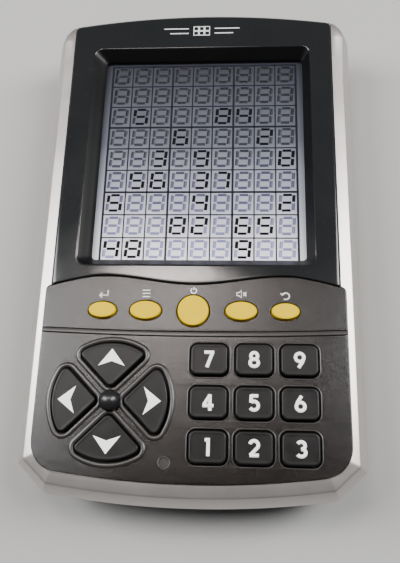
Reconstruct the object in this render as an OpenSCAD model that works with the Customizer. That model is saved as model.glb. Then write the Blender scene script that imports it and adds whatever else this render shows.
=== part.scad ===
// Handheld electronic number-puzzle game, lying on its back.
// Millimetres. +Z up through the face, +Y towards the top end, +X to the right as seen from the front.
// The origin is on the surface that the feet rest on, under the middle of the case.

/* [Case] */
// Width across the widest line of the case
body_w = 95; // [92:1:120]
// Length from the bottom end to the top end
body_l = 154; // [150:1:190]
// Wall of both shells
wall = 1.8; // [1.4:0.1:2.2]
// Height of the parting line above the underside
parting_h = 10.2; // [8:0.2:12]
// How far the underside's edge is set in from the widest line
under_inset = 6; // [3:0.5:7]
// How far below the face the case is widest
widest_drop = 6.5; // [5:0.5:8]
// How far the crest line is set in from the widest line
crest_inset = 2.8; // [2:0.1:4]
// How far below the face the crest line runs
crest_drop = 1.5; // [1:0.1:2]
// Radius of the bowed top and bottom ends
end_r = 260; // [150:10:500]
// Radius of the two corners at the top end
corner_r = 8; // [5:0.5:14]
// Width of the flat facet at each bottom corner
facet_w = 8.1; // [5:0.1:12]
// Height of that facet along the side
facet_h = 10.5; // [6:0.1:14]

/* [Covers] */
// Thickness of the bezel and of the keypad panel
cover_t = 2; // [1.6:0.1:2.6]
// Thickness of the ledge that the covers sit on
ledge_t = 1.6; // [1.2:0.1:2]
// Width of that ledge under the edge of a cover
ledge_w = 2; // [1.6:0.1:2.4]
// Gap round each cover in its seat
cover_gap = 0.2; // [0.1:0.05:0.4]
// How far the bezel's side is set in from the widest line
bezel_inset = 6.3; // [5:0.1:8]
// How far the keypad panel's side is set in from the widest line
panel_inset = 4.8; // [4:0.1:6]
// How far the panel's bottom edge is set in from the bottom end
panel_end_inset = 6.2; // [5:0.1:8]
// Radius of the panel's bottom corners
panel_corner_r = 8.5; // [5:0.5:12]
// How far the strip of yellow buttons lies below the key field
strip_drop = 0.5; // [0.2:0.1:0.8]

/* [Display] */
// Width of the window at the floor of its recess
window_w = 63.6; // [56:0.2:80]
// Length of that window
window_l = 68.4; // [58:0.2:84]
// Distance from the row of yellow buttons up to the middle of the window
window_rise = 50.4; // [50:0.2:60]
// Width of the sloped wall round the window
recess_slope = 2.6; // [2:0.1:4]
// Depth of the recess below the face
recess_depth = 3.6; // [3:0.1:4.4]
// Thickness of the clear window
lens_t = 1.2; // [0.8:0.1:1.6]
// Thickness of the liquid crystal glass
glass_t = 2.3; // [1.6:0.1:2.6]
// How far the window and the glass lap behind the recess wall
glass_lap = 2; // [1:0.1:2.4]
// Wall of the holder round the glass
holder_wall = 1.2; // [0.8:0.1:1.6]

/* [Number keys] */
// Width of a number key
key_w = 10; // [8:0.1:10.6]
// Height of a number key on the face
key_l = 8.6; // [7:0.1:9.4]
// Gap between number keys along a row
key_gap_x = 2.2; // [2:0.1:4]
// Gap between rows of number keys
key_gap_y = 3; // [2.2:0.1:5]
// Corner radius of a number key
key_corner = 1.8; // [1:0.1:3]
// Middle key's distance right of the middle line
keys_x = 17.1; // [16:0.1:20]
// Middle key's distance below the row of yellow buttons
keys_drop = 25.5; // [25:0.1:32]
// How far the keys stand above the face
key_rise = 1.5; // [0.8:0.1:2.5]

/* [Arrow keys] */
// Outer radius of the four arrow keys
arrow_r = 15.8; // [12:0.1:16.2]
// Distance from the middle to the point that each arrow key narrows to
arrow_apex = 3.3; // [3:0.1:5]
// Corner radius of an arrow key
arrow_corner = 1.5; // [0.8:0.1:2.5]
// Middle of the arrow keys, left of the middle line
arrows_x = 21.8; // [20:0.1:28]
// Diameter of the ball between them
ball_d = 6; // [4:0.1:6.4]
// Height of the ridge round each arrow key
ridge_h = 0.5; // [0.2:0.1:1]
// Width of that ridge
ridge_w = 1; // [0.6:0.1:1.2]

/* [Yellow buttons] */
// Distance of the button row above the bottom end
row_rise = 52.8; // [50:0.2:64]
// Diameter of the power button
power_d = 8.7; // [7:0.1:10]
// Length of the two buttons beside it
mid_button_l = 8.7; // [7:0.1:9.4]
// Height of those two buttons on the face
mid_button_h = 5.2; // [4:0.1:7]
// Length of the two end buttons
end_button_l = 7.7; // [6:0.1:8.6]
// Height of the two end buttons on the face
end_button_h = 4.5; // [3.6:0.1:6]
// Distance from the power button to the next one
mid_button_x = 13.5; // [12:0.1:16]
// Distance from the power button to the end one
end_button_x = 25.8; // [24:0.1:30]
// How far the yellow buttons stand above their strip
button_rise = 1; // [0.8:0.1:2]

/* [Key mechanism] */
// Travel of every key and button
travel = 1; // [0.6:0.1:1.2]
// Gap round a key in its hole
key_clear = 0.3; // [0.2:0.05:0.5]
// Width of the flange that keeps a key in
flange_w = 0.8; // [0.6:0.1:1]
// Thickness of that flange
flange_t = 1; // [0.8:0.1:1.2]
// Radius of the stem on a dome
stem_r = 1.9; // [1.4:0.1:2.2]
// Height of a rubber dome
dome_h = 2; // [1.6:0.1:2.4]
// Thickness of the rubber mats
mat_t = 1; // [0.6:0.1:1.2]
// Height from the top of the board to the face
key_stack = 8.4; // [8:0.1:11]
// Diameter of the reset plunger
reset_d = 2; // [1.5:0.1:3]

/* [Battery bay] */
// Diameter of a cell
cell_d = 10.5; // [10:0.1:15]
// Length of a cell with its button
cell_l = 44.5; // [40:0.5:52]
// Gap round the cells
cell_clear = 0.15; // [0.1:0.05:0.5]
// Length that a compressed contact spring takes
spring_l = 4.6; // [3:0.1:7]
// Thickness of the battery door
door_t = 2; // [1.6:0.1:2.6]
// Gap round the door in its grooves
door_clear = 0.2; // [0.1:0.05:0.4]
// Width of the door's tongues
tongue_w = 1.2; // [0.8:0.1:1.6]

/* [Board and screws] */
// Thickness of the circuit board
board_t = 1.6; // [1:0.1:2]
// Radius of a screw boss
boss_r = 3.2; // [2.8:0.1:3.6]
// Radius of the case screws' thread
screw_r = 1.3; // [1:0.05:1.5]
// Length of the case screws under the head
screw_l = 10; // [8:0.5:12]
// Height of the feet below the case
foot_h = 0.8; // [0.5:0.1:2]
// Diameter of the feet
foot_d = 8; // [5:0.5:9]

/* [Hidden] */
$fn = 48;

// Heights, from the surface that the feet rest on
underside_z = foot_h;
door_top_z = underside_z + door_t;
cell_z = door_top_z + door_clear + cell_clear + cell_d / 2;
bay_roof_t = 1.1;
bay_roof_z = cell_z + cell_d / 2 + cell_clear;
board_gap = 0.1;
board_z = bay_roof_z + bay_roof_t + board_gap;
board_top_z = board_z + board_t;
face_z = board_top_z + key_stack;
seat_z = face_z - cover_t;
ledge_z = seat_z - ledge_t;
parting_z = underside_z + parting_h;
widest_z = face_z - widest_drop;
crest_z = face_z - crest_drop;
lens_z = face_z - recess_depth - lens_t;
lcd_gap = 0.1;
lcd_z = lens_z - lcd_gap - glass_t;

// Places on the face
row_y = row_rise - body_l / 2;
window_y = row_y + window_rise;
keys_y = row_y - keys_drop;
pitch_x = key_w + key_gap_x;
pitch_y = key_l + key_gap_y;
reset_x = -6.5;
reset_y = keys_y - pitch_y - key_l / 2;
hump_x = 26.7;
hump_y = row_y + 10.3;
valley_y = row_y + 7.8;
shoulder_y = row_y + 7.3;
shoulder_cut = 1.5;
step_y = row_y - 6.1;
step_bow = 1.2;

// Battery bay
cell_pitch = cell_d + 2 * cell_clear;
plate_t = 0.5;
bay_l = cell_l + spring_l + plate_t;
bay_w = 2 * cell_pitch;
bay_wall = 2;
rail_w = 5;
bay_y = -body_l / 2 + 10.5 + bay_w / 2;
door_half = bay_l / 2 + 1.2;
door_end_y = bay_y + bay_w / 2 + bay_wall;
lip_t = 1.2;

// Screw wells
boss_places = [
    [body_w / 2 - 10, 12.5 - body_l / 2],
    [body_w / 2 - 7.7, row_y + 4.2],
    [body_w / 2 - 6.9, body_l / 2 - 10.7]
];
head_r = 2.5;
head_t = 1.8;
well_r = head_r + 0.4;
well_z = underside_z + 5;
pilot_gap = 0.05;
post_r = 2.2;
post_places = [[body_w / 2 - 7.9, window_y + 19], [body_w / 2 - 7.9, window_y - 24]];
board_screw_r = 0.9;
board_inset = 5.5;

// Covers
end_wall = 2.4;
recess_rim_r = 2.6;
recess_floor_r = 1;
skirt_w = window_w + 2 * recess_slope + 2;
skirt_l = window_l + 2 * recess_slope + 2;
ridge_gap = 0.2;
rim_in = 0.5;
rim_out = 0.95;
rim_h = 0.25;
ball_stem_r = 1.4;

// Rear shell
speaker_y = window_y + 12;
speaker_r = 10;
speaker_lip_t = 1.4;
speaker_lip_h = 1.5;
sound_ring_r = 4.5;
sound_hole_r = 0.9;
tab_w = 3;
foot_seat = 0.8;
foot_places = [
    [bay_l / 2 + rail_w + foot_d / 2 + 0.7, 25 - body_l / 2],
    [body_w / 2 - 13, body_l / 2 - 22]
];
grip_count = 6;
grip_w = 16;
grip_pitch = 1.6;
grip_depth = 0.4;

// Keys
flange_top_z = seat_z - 0.15;
dome_top_z = board_top_z + mat_t + dome_h;
dome_base_r = 3.2;
dome_tip_r = 2.2;
crown = 0.7;
arrow_stem_r = 10;
ball_lift = 0.6;
reset_switch_top = board_top_z + 3;
reset_switch_w = 6;
reset_travel = 0.4;
reset_recess = 0.5;

// Display and electronics
glass_w = window_w + 2 * glass_lap;
glass_l = window_l + 2 * glass_lap;
strip_w = 2;
strip_y = window_y - glass_l / 2 + 1.2;
chip_x = 14;
chip_y = window_y - 16;
can_x = -22;
can_r = 2.5;
can_h = 6;
small_can_x = -12;
small_can_r = 1.5;
small_can_h = 5;
wire_r = 0.5;
wire_half_gap = 3;

// Battery contacts
plate_w = 8;
cell_button_d = 3.8;
cell_button_h = 0.8;
coil_turns = 3;
coil_steps = 12;
coil_wire = 0.35;
coil_base_r = 3.6;
coil_tip_r = 2;
coil_slack = 0.5;

// The case's outline, bowed at both ends, round at the top corners and cut flat at the bottom ones
facet_x = body_w / 2 - facet_w;
corner_x = body_w / 2 - corner_r;
corner_y = body_l / 2 - corner_x * corner_x / (2 * end_r) - corner_r;
function bow(x) = x * x / (2 * end_r);
function corner(side, a) = [side * (corner_x + corner_r * cos(a)), corner_y + corner_r * sin(a)];
outline = concat(
    [for (i = [-5:5]) [i / 5 * facet_x, bow(i / 5 * facet_x) - body_l / 2]],
    [[body_w / 2, facet_h - body_l / 2]],
    [for (a = [0:15:75]) corner(1, a)],
    [for (i = [5:-1:-5]) [i / 5 * corner_x, body_l / 2 - bow(i / 5 * corner_x)]],
    [for (a = [75:-15:0]) corner(-1, a)],
    [[-body_w / 2, facet_h - body_l / 2]]
);

// Section of the case: a quarter ellipse from the underside to the widest line,
// then a steepening curve to the crest
lower_section = [
    for (a = [0, 12, 25, 42, 62, 90])
        [widest_z - (widest_z - underside_z) * cos(a), under_inset * (1 - sin(a))]
];
crest_section = [
    for (t = [0.35, 0.7, 1])
        [widest_z + (crest_z - widest_z) * t, crest_inset * pow(t, 1.6)]
];
band_section = [[face_z - 0.4, bezel_inset]];
bezel_section = [[face_z - 2.2, 0.7], [face_z - 0.7, 1.6], [face_z - 0.01, 2.8]];
slab = 0.01;

module outline_inset(d) offset(delta = -d) polygon(outline);

module case_solid(section, d) {
    hull() for (p = section) translate([0, 0, p[0]]) linear_extrude(slab) outline_inset(p[1] + d);
}

module between(z0, z1, x = body_w, y = body_l) {
    translate([-x / 2, -y / 2, z0]) cube([x, y, z1 - z0]);
}

// Top edge of the keypad panel: a valley between two humps, then a fall to the shoulders
panel_half = body_w / 2 - panel_inset;
shoulder_x = panel_half - shoulder_cut;
function edge_y(x) = abs(x) < hump_x
    ? valley_y + (hump_y - valley_y) * pow(sin(90 * abs(x) / hump_x), 2)
    : hump_y - (hump_y - shoulder_y) * pow((abs(x) - hump_x) / (shoulder_x - hump_x), 1.4);
edge_n = 24;
edge_points = [for (i = [edge_n:-1:-edge_n]) let (x = i / edge_n * shoulder_x) [x, edge_y(x)]];

pc_x = panel_half - panel_corner_r;
pc_y = bow(pc_x) - body_l / 2 + panel_end_inset + panel_corner_r;
panel_outline = concat(
    [for (i = [-4:4]) [i / 4 * pc_x, bow(i / 4 * pc_x) - body_l / 2 + panel_end_inset]],
    [for (a = [-80:10:0]) [pc_x + panel_corner_r * cos(a), pc_y + panel_corner_r * sin(a)]],
    [[panel_half, shoulder_y - shoulder_cut]],
    edge_points,
    [[-panel_half, shoulder_y - shoulder_cut]],
    [for (a = [0:-10:-80]) [-pc_x - panel_corner_r * cos(a), pc_y + panel_corner_r * sin(a)]]
);
strip_outline = concat(
    [for (i = [-6:6]) let (x = i / 6 * body_w / 2) [x, step_y - step_bow * (1 - pow(i / 6, 2))]],
    [[body_w / 2, body_l / 2], [-body_w / 2, body_l / 2]]
);
bezel_half = body_w / 2 - bezel_inset;
bezel_outline = concat(
    [[-bezel_half, body_l / 2], [-bezel_half, edge_y(shoulder_x)]],
    [for (p = [for (i = [len(edge_points) - 1:-1:0]) edge_points[i]]) if (abs(p[0]) < bezel_half) p],
    [[bezel_half, edge_y(shoulder_x)], [bezel_half, body_l / 2]]
);

module rounded(w, l, r) {
    offset(r = r, $fn = 24) square([w - 2 * r, l - 2 * r], center = true);
}

// One arrow key's outline, pointing along +Y from the middle of the four
module petal(grow = 0) {
    offset(r = arrow_corner + grow, $fn = 24) offset(delta = -arrow_corner) polygon(concat(
        [[0, arrow_apex]],
        [for (a = [-arrow_half:arrow_half / 5:arrow_half]) arrow_r * [-sin(a), cos(a)]]
    ));
}

module oval(l, h) {
    polygon([for (a = [0:10:350]) [l / 2 * cos(a), h / 2 * sin(a)]]);
}

module at_arrow(turn) {
    translate([-arrows_x, keys_y]) rotate(turn) children();
}

module at_key(n) {
    column = (n - 1) % 3 - 1;
    row = floor((n - 1) / 3) - 1;
    translate([keys_x + column * pitch_x, keys_y + row * pitch_y]) children();
}

arrow_turns = [0, 90, 180, 270];
// Half the angle that an arrow key's arc spans, where its arc meets the slanted sides
arrow_half = 45 - asin(arrow_apex * sin(135) / arrow_r);
// Yellow buttons: place along the row, length, height on the face
button_rows = [
    [-end_button_x, end_button_l, end_button_h], [-mid_button_x, mid_button_l, mid_button_h],
    [0, power_d, power_d],
    [mid_button_x, mid_button_l, mid_button_h], [end_button_x, end_button_l, end_button_h]
];

module each_boss() {
    for (side = [-1, 1], p = boss_places) translate([side * p[0], p[1]]) children();
}

module each_post() {
    for (side = [-1, 1], p = post_places) translate([side * p[0], p[1]]) children();
}

// Shells and covers
module front_housing() color([0.78, 0.77, 0.75]) difference() {
    union() {
        difference() {
            intersection() {
                case_solid(concat(lower_section, crest_section, band_section), 0);
                between(parting_z, face_z);
            }
            intersection() {
                case_solid(concat(lower_section, crest_section, band_section), wall);
                between(parting_z - 1, ledge_z);
            }
        }
        each_boss() translate([0, 0, parting_z]) cylinder(r = boss_r, h = ledge_z - parting_z + 0.1);
        each_post() translate([0, 0, board_top_z]) cylinder(r = post_r, h = ledge_z - board_top_z + 0.1);
    }
    translate([0, 0, seat_z]) linear_extrude(cover_t + 1) offset(delta = cover_gap) polygon(panel_outline);
    translate([0, 0, seat_z]) linear_extrude(cover_t + 1) offset(delta = cover_gap) polygon(bezel_outline);
    translate([0, 0, parting_z - 1]) linear_extrude(face_z) top_end(cover_gap);
    translate([0, 0, ledge_z - 1]) linear_extrude(ledge_t + 2) difference() {
        offset(delta = -ledge_w) polygon(panel_outline);
        translate([-body_w / 2, valley_y - ledge_w]) square([body_w, body_l]);
    }
    translate([0, window_y, ledge_z - 1]) linear_extrude(ledge_t + 2)
        square([skirt_w, skirt_l] + [2, 2] * cover_gap, center = true);
    each_boss() translate([0, 0, parting_z - 1]) cylinder(r = screw_r + pilot_gap, h = screw_l - 3);
    each_post() translate([0, 0, board_top_z - 1]) cylinder(r = board_screw_r + pilot_gap, h = 4.5);
}

// The strip along the top end where the bezel comes down instead of the front shell
module top_end(grow) difference() {
    translate([-bezel_half - grow, 0]) square([2 * (bezel_half + grow), body_l]);
    outline_inset(end_wall + grow);
}

module display_bezel() color([0.1, 0.11, 0.12]) difference() {
    intersection() {
        case_solid(concat(lower_section, bezel_section), 0);
        union() {
            translate([0, 0, seat_z]) linear_extrude(cover_t + 1) difference() {
                polygon(bezel_outline);
                offset(delta = cover_gap) polygon(panel_outline);
            }
            translate([0, 0, parting_z]) linear_extrude(seat_z - parting_z + 0.1) top_end(0);
            translate([0, window_y, face_z - recess_depth]) linear_extrude(recess_depth - cover_t + 0.1)
                square([skirt_w, skirt_l], center = true);
        }
    }
    translate([0, window_y, face_z - recess_depth - slab]) hull() {
        linear_extrude(slab) rounded(window_w, window_l, recess_floor_r);
        translate([0, 0, recess_depth + 2 * slab])
            linear_extrude(slab)
                rounded(window_w + 2 * recess_slope, window_l + 2 * recess_slope, recess_rim_r);
    }
}

module window_lens() color([0.75, 0.8, 0.85, 0.4]) translate([0, window_y, lens_z])
    linear_extrude(lens_t) rounded(window_w + 2 * glass_lap, window_l + 2 * glass_lap, 2);

module keypad_panel() color([0.2, 0.19, 0.19]) difference() {
    union() {
        difference() {
            translate([0, 0, seat_z]) linear_extrude(cover_t) polygon(panel_outline);
            translate([0, 0, face_z - strip_drop]) linear_extrude(1) polygon(strip_outline);
        }
        for (turn = arrow_turns) translate([0, 0, face_z - 0.1]) linear_extrude(ridge_h + 0.1) at_arrow(turn)
            difference() {
                petal(key_clear + ridge_gap + ridge_w);
                petal(key_clear + ridge_gap);
            }
        for (n = [1:9]) translate([0, 0, face_z - 0.1]) linear_extrude(rim_h + 0.1) at_key(n) difference() {
            rounded(key_w + 2 * rim_out, key_l + 2 * rim_out, key_corner + rim_out);
            rounded(key_w + 2 * rim_in, key_l + 2 * rim_in, key_corner + rim_in);
        }
    }
    for (turn = arrow_turns) translate([0, 0, seat_z - 1]) linear_extrude(face_z) at_arrow(turn)
        petal(key_clear);
    for (n = [1:9]) translate([0, 0, seat_z - 1]) linear_extrude(face_z) at_key(n)
        rounded(key_w + 2 * key_clear, key_l + 2 * key_clear, key_corner + key_clear);
    for (b = button_rows) if (b[1] > b[2]) translate([b[0], row_y, seat_z - 1])
        linear_extrude(face_z) offset(delta = key_clear) oval(b[1], b[2]);
    translate([0, row_y, seat_z - 1]) cylinder(d = power_d + 2 * key_clear, h = face_z);
    translate([reset_x, reset_y, seat_z - 1]) cylinder(d = reset_d + 2 * key_clear, h = face_z);
    translate([-arrows_x, keys_y, seat_z - 1]) cylinder(r = ball_stem_r + pilot_gap, h = face_z);
    translate([-arrows_x, keys_y, face_z]) cylinder(d = ball_d + 0.2, h = 2 * ridge_h);
}

module rear_housing() color([0.13, 0.13, 0.13]) difference() {
    union() {
        difference() {
            intersection() {
                case_solid(concat(lower_section, crest_section), 0);
                between(underside_z, parting_z);
            }
            intersection() {
                case_solid(concat(lower_section, crest_section), wall);
                between(underside_z + wall, face_z);
            }
        }
        intersection() {
            each_boss() translate([0, 0, underside_z]) cylinder(r = boss_r + 1, h = parting_h);
            case_solid(concat(lower_section, crest_section), wall / 2);
        }
        intersection() {
            translate([0, bay_y, underside_z]) linear_extrude(bay_roof_z + bay_roof_t - underside_z)
                square([bay_l + 2 * rail_w, bay_w + 2 * bay_wall], center = true);
            case_solid(concat(lower_section, crest_section), wall / 2);
        }
        translate([0, speaker_y, underside_z + wall - 0.1]) difference() {
            cylinder(r = speaker_r + 0.2 + speaker_lip_t, h = speaker_lip_h);
            translate([0, 0, -1]) cylinder(r = speaker_r + 0.2, h = speaker_lip_h + 2);
        }
    }
    translate([-bay_l / 2, bay_y - bay_w / 2, underside_z - 1])
        cube([bay_l, bay_w, bay_roof_z - underside_z + 1]);
    door_space(door_half + door_clear, underside_z - 1, door_top_z - lip_t + 0.1);
    door_space(door_half + tongue_w + door_clear, door_top_z - lip_t, door_top_z + door_clear);
    for (side = [-1, 1], s = [-1, 1])
        translate([side * (bay_l / 2 - 0.6), bay_y + s * cell_pitch / 2, bay_roof_z - 1])
            linear_extrude(bay_roof_t + 2) square(tab_w, center = true);
    each_boss() translate([0, 0, underside_z - 1]) cylinder(r = well_r, h = well_z - underside_z + 1);
    each_boss() translate([0, 0, underside_z - 1]) cylinder(r = screw_r + 0.2, h = parting_h + 2);
    for (i = [0:6]) translate([0, speaker_y, underside_z - 1]) rotate(i * 60)
        translate([i == 6 ? 0 : sound_ring_r, 0, 0]) cylinder(r = sound_hole_r, h = wall + 2);
    each_foot() translate([0, 0, underside_z - 1]) cylinder(d = foot_d, h = 1 + foot_seat);
}

module each_foot() {
    for (side = [-1, 1], p = foot_places) translate([side * p[0], p[1]]) children();
}

// Space that the door fills and slides out of, open towards the bottom end
module door_space(half, z0, z1) {
    translate([-half, -body_l, z0]) cube([2 * half, body_l + door_end_y + door_clear, z1 - z0]);
}

module battery_door() color([0.13, 0.13, 0.13]) difference() {
    intersection() {
        union() {
            translate([-door_half, -body_l, underside_z]) cube([2 * door_half, body_l + door_end_y, door_t]);
            translate([-door_half - tongue_w, -body_l, door_top_z - lip_t + door_clear])
                cube([2 * (door_half + tongue_w), body_l + door_end_y, lip_t - door_clear]);
        }
        case_solid(concat(lower_section, crest_section), 0);
    }
    for (i = [0:grip_count - 1]) translate([-grip_w / 2, bay_y + 1 + i * grip_pitch, underside_z - 1])
        cube([grip_w, grip_pitch / 2, 1 + grip_depth]);
}

module rubber_feet() color([0.08, 0.08, 0.08])
    each_foot() cylinder(d = foot_d - 0.2, h = underside_z + foot_seat);

// Keys: a crowned cap, a flange behind the panel and a stem on its dome
module key_body(top_z) {
    hull() {
        translate([0, 0, flange_top_z]) linear_extrude(top_z - crown - flange_top_z) children();
        translate([0, 0, top_z - slab]) linear_extrude(slab) offset(delta = -crown) children();
    }
    translate([0, 0, flange_top_z - flange_t]) linear_extrude(flange_t) offset(delta = flange_w) children();
}

module key_stem() {
    translate([0, 0, dome_top_z]) cylinder(r = stem_r, h = flange_top_z - flange_t - dome_top_z + 0.1);
}

module number_key(n) color([0.16, 0.15, 0.15]) at_key(n) {
    key_body(face_z + key_rise) rounded(key_w, key_l, key_corner);
    key_stem();
}

module arrow_key(turn) color([0.16, 0.15, 0.15]) at_arrow(turn) {
    key_body(face_z + key_rise) petal();
    translate([0, arrow_stem_r, 0]) key_stem();
}

module yellow_button(i) color([0.92, 0.8, 0.2]) translate([button_rows[i][0], row_y, 0]) {
    key_body(face_z - strip_drop + button_rise) oval(button_rows[i][1], button_rows[i][2]);
    key_stem();
}

module button_power() color([0.92, 0.8, 0.2]) translate([0, row_y, 0]) {
    translate([0, 0, flange_top_z])
        cylinder(d = power_d, h = face_z - strip_drop + button_rise - crown - flange_top_z);
    translate([0, 0, face_z - strip_drop + button_rise - crown])
        cylinder(d1 = power_d, d2 = power_d - 2 * crown, h = crown);
    translate([0, 0, flange_top_z - flange_t]) cylinder(d = power_d + 2 * flange_w, h = flange_t);
    key_stem();
}

module reset_button() color([0.35, 0.35, 0.36]) translate([reset_x, reset_y, reset_switch_top]) {
    cylinder(d = reset_d, h = face_z - reset_recess - reset_switch_top);
    cylinder(d = reset_d + 2 * flange_w, h = flange_t);
}

module reset_switch() color([0.3, 0.3, 0.32]) translate([reset_x, reset_y, board_top_z]) {
    linear_extrude(reset_switch_top - board_top_z - reset_travel - 0.1) square(reset_switch_w, center = true);
}

module nav_ball() color([0.05, 0.05, 0.05]) translate([-arrows_x, keys_y, 0]) {
    difference() {
        translate([0, 0, face_z + ball_lift]) sphere(d = ball_d);
        between(0, face_z);
    }
    translate([0, 0, seat_z]) cylinder(r = ball_stem_r, h = cover_t + 0.5);
}

// Display
module lcd_panel() color([0.6, 0.63, 0.66]) translate([-glass_w / 2, window_y - glass_l / 2, lcd_z])
    cube([glass_w, glass_l, glass_t]);

module lcd_frame() color([0.88, 0.88, 0.86]) difference() {
    translate([0, window_y, board_top_z]) linear_extrude(lcd_z + glass_t - board_top_z)
        square([glass_w, glass_l] + [2, 2] * (holder_wall + 0.1), center = true);
    translate([0, window_y, lcd_z]) linear_extrude(glass_t + 1)
        square([glass_w, glass_l] + [0.2, 0.2], center = true);
    translate([-glass_w / 2 + 2, strip_y - 0.1, board_top_z - 1]) cube([glass_w - 4, strip_w + 0.2, 4]);
}

module lcd_connector() color([0.75, 0.35, 0.3]) translate([-glass_w / 2 + 2.1, strip_y, board_top_z])
    cube([glass_w - 4.2, strip_w, lcd_z - board_top_z]);

// Board and what is on it
module main_board() color([0.12, 0.35, 0.2]) difference() {
    translate([0, 0, board_z]) linear_extrude(board_t) outline_inset(board_inset);
    each_boss() translate([0, 0, board_z - 1]) cylinder(r = boss_r + 0.5, h = board_t + 2);
    each_post() translate([0, 0, board_z - 1]) cylinder(r = board_screw_r + 0.2, h = board_t + 2);
}

module controller_chip() color([0.06, 0.06, 0.06]) translate([chip_x, chip_y, board_z]) mirror([0, 0, 1])
    rotate_extrude() polygon([[0, 0], [7, 0], [6.6, 0.7], [5, 1.3], [2.6, 1.6], [0, 1.7]]);

module board_parts() color([0.2, 0.25, 0.45]) {
    translate([can_x, chip_y, board_z - can_h]) cylinder(r = can_r, h = can_h);
    translate([small_can_x, chip_y, board_z - small_can_h]) cylinder(r = small_can_r, h = small_can_h);
}

module dome() {
    translate([0, 0, board_top_z + mat_t - slab])
        cylinder(r1 = dome_base_r, r2 = dome_tip_r, h = dome_h + slab);
}

module number_mat() color([0.4, 0.4, 0.42]) {
    difference() {
        translate([keys_x, keys_y, board_top_z]) linear_extrude(mat_t)
            rounded(2 * pitch_x + key_w + 1, 2 * pitch_y + key_l + 1, 1.5);
        // the corner nearest a screw boss is cut clear of it
        each_boss() translate([0, 0, board_top_z - 1]) cylinder(r = boss_r + 0.5, h = mat_t + 2);
    }
    for (n = [1:9]) at_key(n) dome();
}

module arrow_mat() color([0.4, 0.4, 0.42]) {
    translate([-arrows_x, keys_y, board_top_z]) cylinder(r = arrow_r + 0.5, h = mat_t);
    for (turn = arrow_turns) at_arrow(turn) translate([0, arrow_stem_r]) dome();
}

module button_mat() color([0.4, 0.4, 0.42]) {
    translate([0, row_y, board_top_z]) linear_extrude(mat_t)
        rounded(2 * end_button_x + end_button_l + 2, power_d + 0.6, 1.5);
    for (b = button_rows) translate([b[0], row_y]) dome();
}

module piezo_speaker() color([0.8, 0.65, 0.3]) translate([0, speaker_y, underside_z + wall]) {
    cylinder(r = speaker_r, h = 0.3);
    translate([0, 0, 0.3]) cylinder(r = speaker_r - 3, h = 0.3);
}

module speaker_wires() color([0.7, 0.15, 0.12]) for (side = [-1, 1])
    translate([side * wire_half_gap, speaker_y, underside_z + wall + 0.6])
        cylinder(r = wire_r, h = board_z - underside_z - wall - 0.6);

// Two cells side by side across the case, the second one turned round
module each_cell() {
    for (s = [-1, 1]) translate([0, bay_y + s * cell_pitch / 2, cell_z])
        rotate([0, 0, s > 0 ? 0 : 180]) children();
}

module batteries() color([0.2, 0.22, 0.25]) each_cell()
    translate([bay_l / 2 - plate_t - cell_l, 0, 0]) rotate([0, 90, 0]) {
        cylinder(d = cell_d, h = cell_l - cell_button_h);
        translate([0, 0, cell_l - cell_button_h - 0.1]) cylinder(d = cell_button_d, h = cell_button_h + 0.1);
    }

module battery_plates() color([0.8, 0.8, 0.8]) each_cell() for (end = [-1, 1])
    translate([end * (bay_l - plate_t) / 2, 0, 0]) {
        cube([plate_t, plate_w, plate_w], center = true);
        translate([-plate_t / 2, -1, 3]) cube([plate_t, 2, board_z - cell_z - 3]);
    }

// A cone-shaped contact spring: round wire along a helix that narrows towards the cell
function coil_at(t) = let (a = 360 * coil_turns * t, r = coil_base_r + (coil_tip_r - coil_base_r) * t)
    [coil_slack + coil_wire + t * (spring_l - 2 * coil_wire - coil_slack - 0.1), r * cos(a), r * sin(a)];
function coil_ring(i, n) = let (p = coil_at(i / n), a = 360 * coil_turns * i / n)
    [for (k = [0:5]) p + coil_wire * (cos(60 * k) * [0, cos(a), sin(a)] + sin(60 * k) * [1, 0, 0])];

module contact_spring() {
    n = coil_turns * coil_steps;
    points = [for (i = [0:n], q = coil_ring(i, n)) q];
    sides = [for (i = [0:n - 1], k = [0:5]) let (a = i * 6, j = (k + 1) % 6)
        [a + k, a + j, a + 6 + j, a + 6 + k]];
    polyhedron(points, concat(sides, [[for (k = [5:-1:0]) k], [for (k = [0:5]) n * 6 + k]]));
}

module battery_springs() color([0.75, 0.75, 0.75]) each_cell()
    translate([-bay_l / 2, 0, 0]) contact_spring();

// Screws
module case_screws() color([0.6, 0.6, 0.62]) each_boss() {
    translate([0, 0, well_z - head_t]) cylinder(r = head_r, h = head_t);
    translate([0, 0, well_z - 0.1]) cylinder(r = screw_r, h = screw_l + 0.1);
}

module board_screws() color([0.6, 0.6, 0.62]) each_post() {
    translate([0, 0, board_z - 1.2]) cylinder(r = 1.9, h = 1.2);
    translate([0, 0, board_z - 0.1]) cylinder(r = board_screw_r, h = board_t + 3.1);
}

front_housing();
display_bezel();
window_lens();
keypad_panel();
rear_housing();
battery_door();
rubber_feet();
number_key(1);  // key_1
number_key(2);  // key_2
number_key(3);  // key_3
number_key(4);  // key_4
number_key(5);  // key_5
number_key(6);  // key_6
number_key(7);  // key_7
number_key(8);  // key_8
number_key(9);  // key_9
arrow_key(0);  // key_up
arrow_key(90);  // key_left
arrow_key(180);  // key_down
arrow_key(270);  // key_right
nav_ball();
yellow_button(0);  // button_enter
yellow_button(1);  // button_mode
button_power();
yellow_button(3);  // button_mute
yellow_button(4);  // button_undo
reset_button();
lcd_panel();
lcd_frame();
lcd_connector();
main_board();
controller_chip();
board_parts();
number_mat();
arrow_mat();
button_mat();
reset_switch();
piezo_speaker();
speaker_wires();
batteries();
battery_springs();
battery_plates();
case_screws();
board_screws();
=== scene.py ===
import math
from bisect import bisect_right

import bmesh
import bpy
from mathutils import Matrix, Vector


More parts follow.
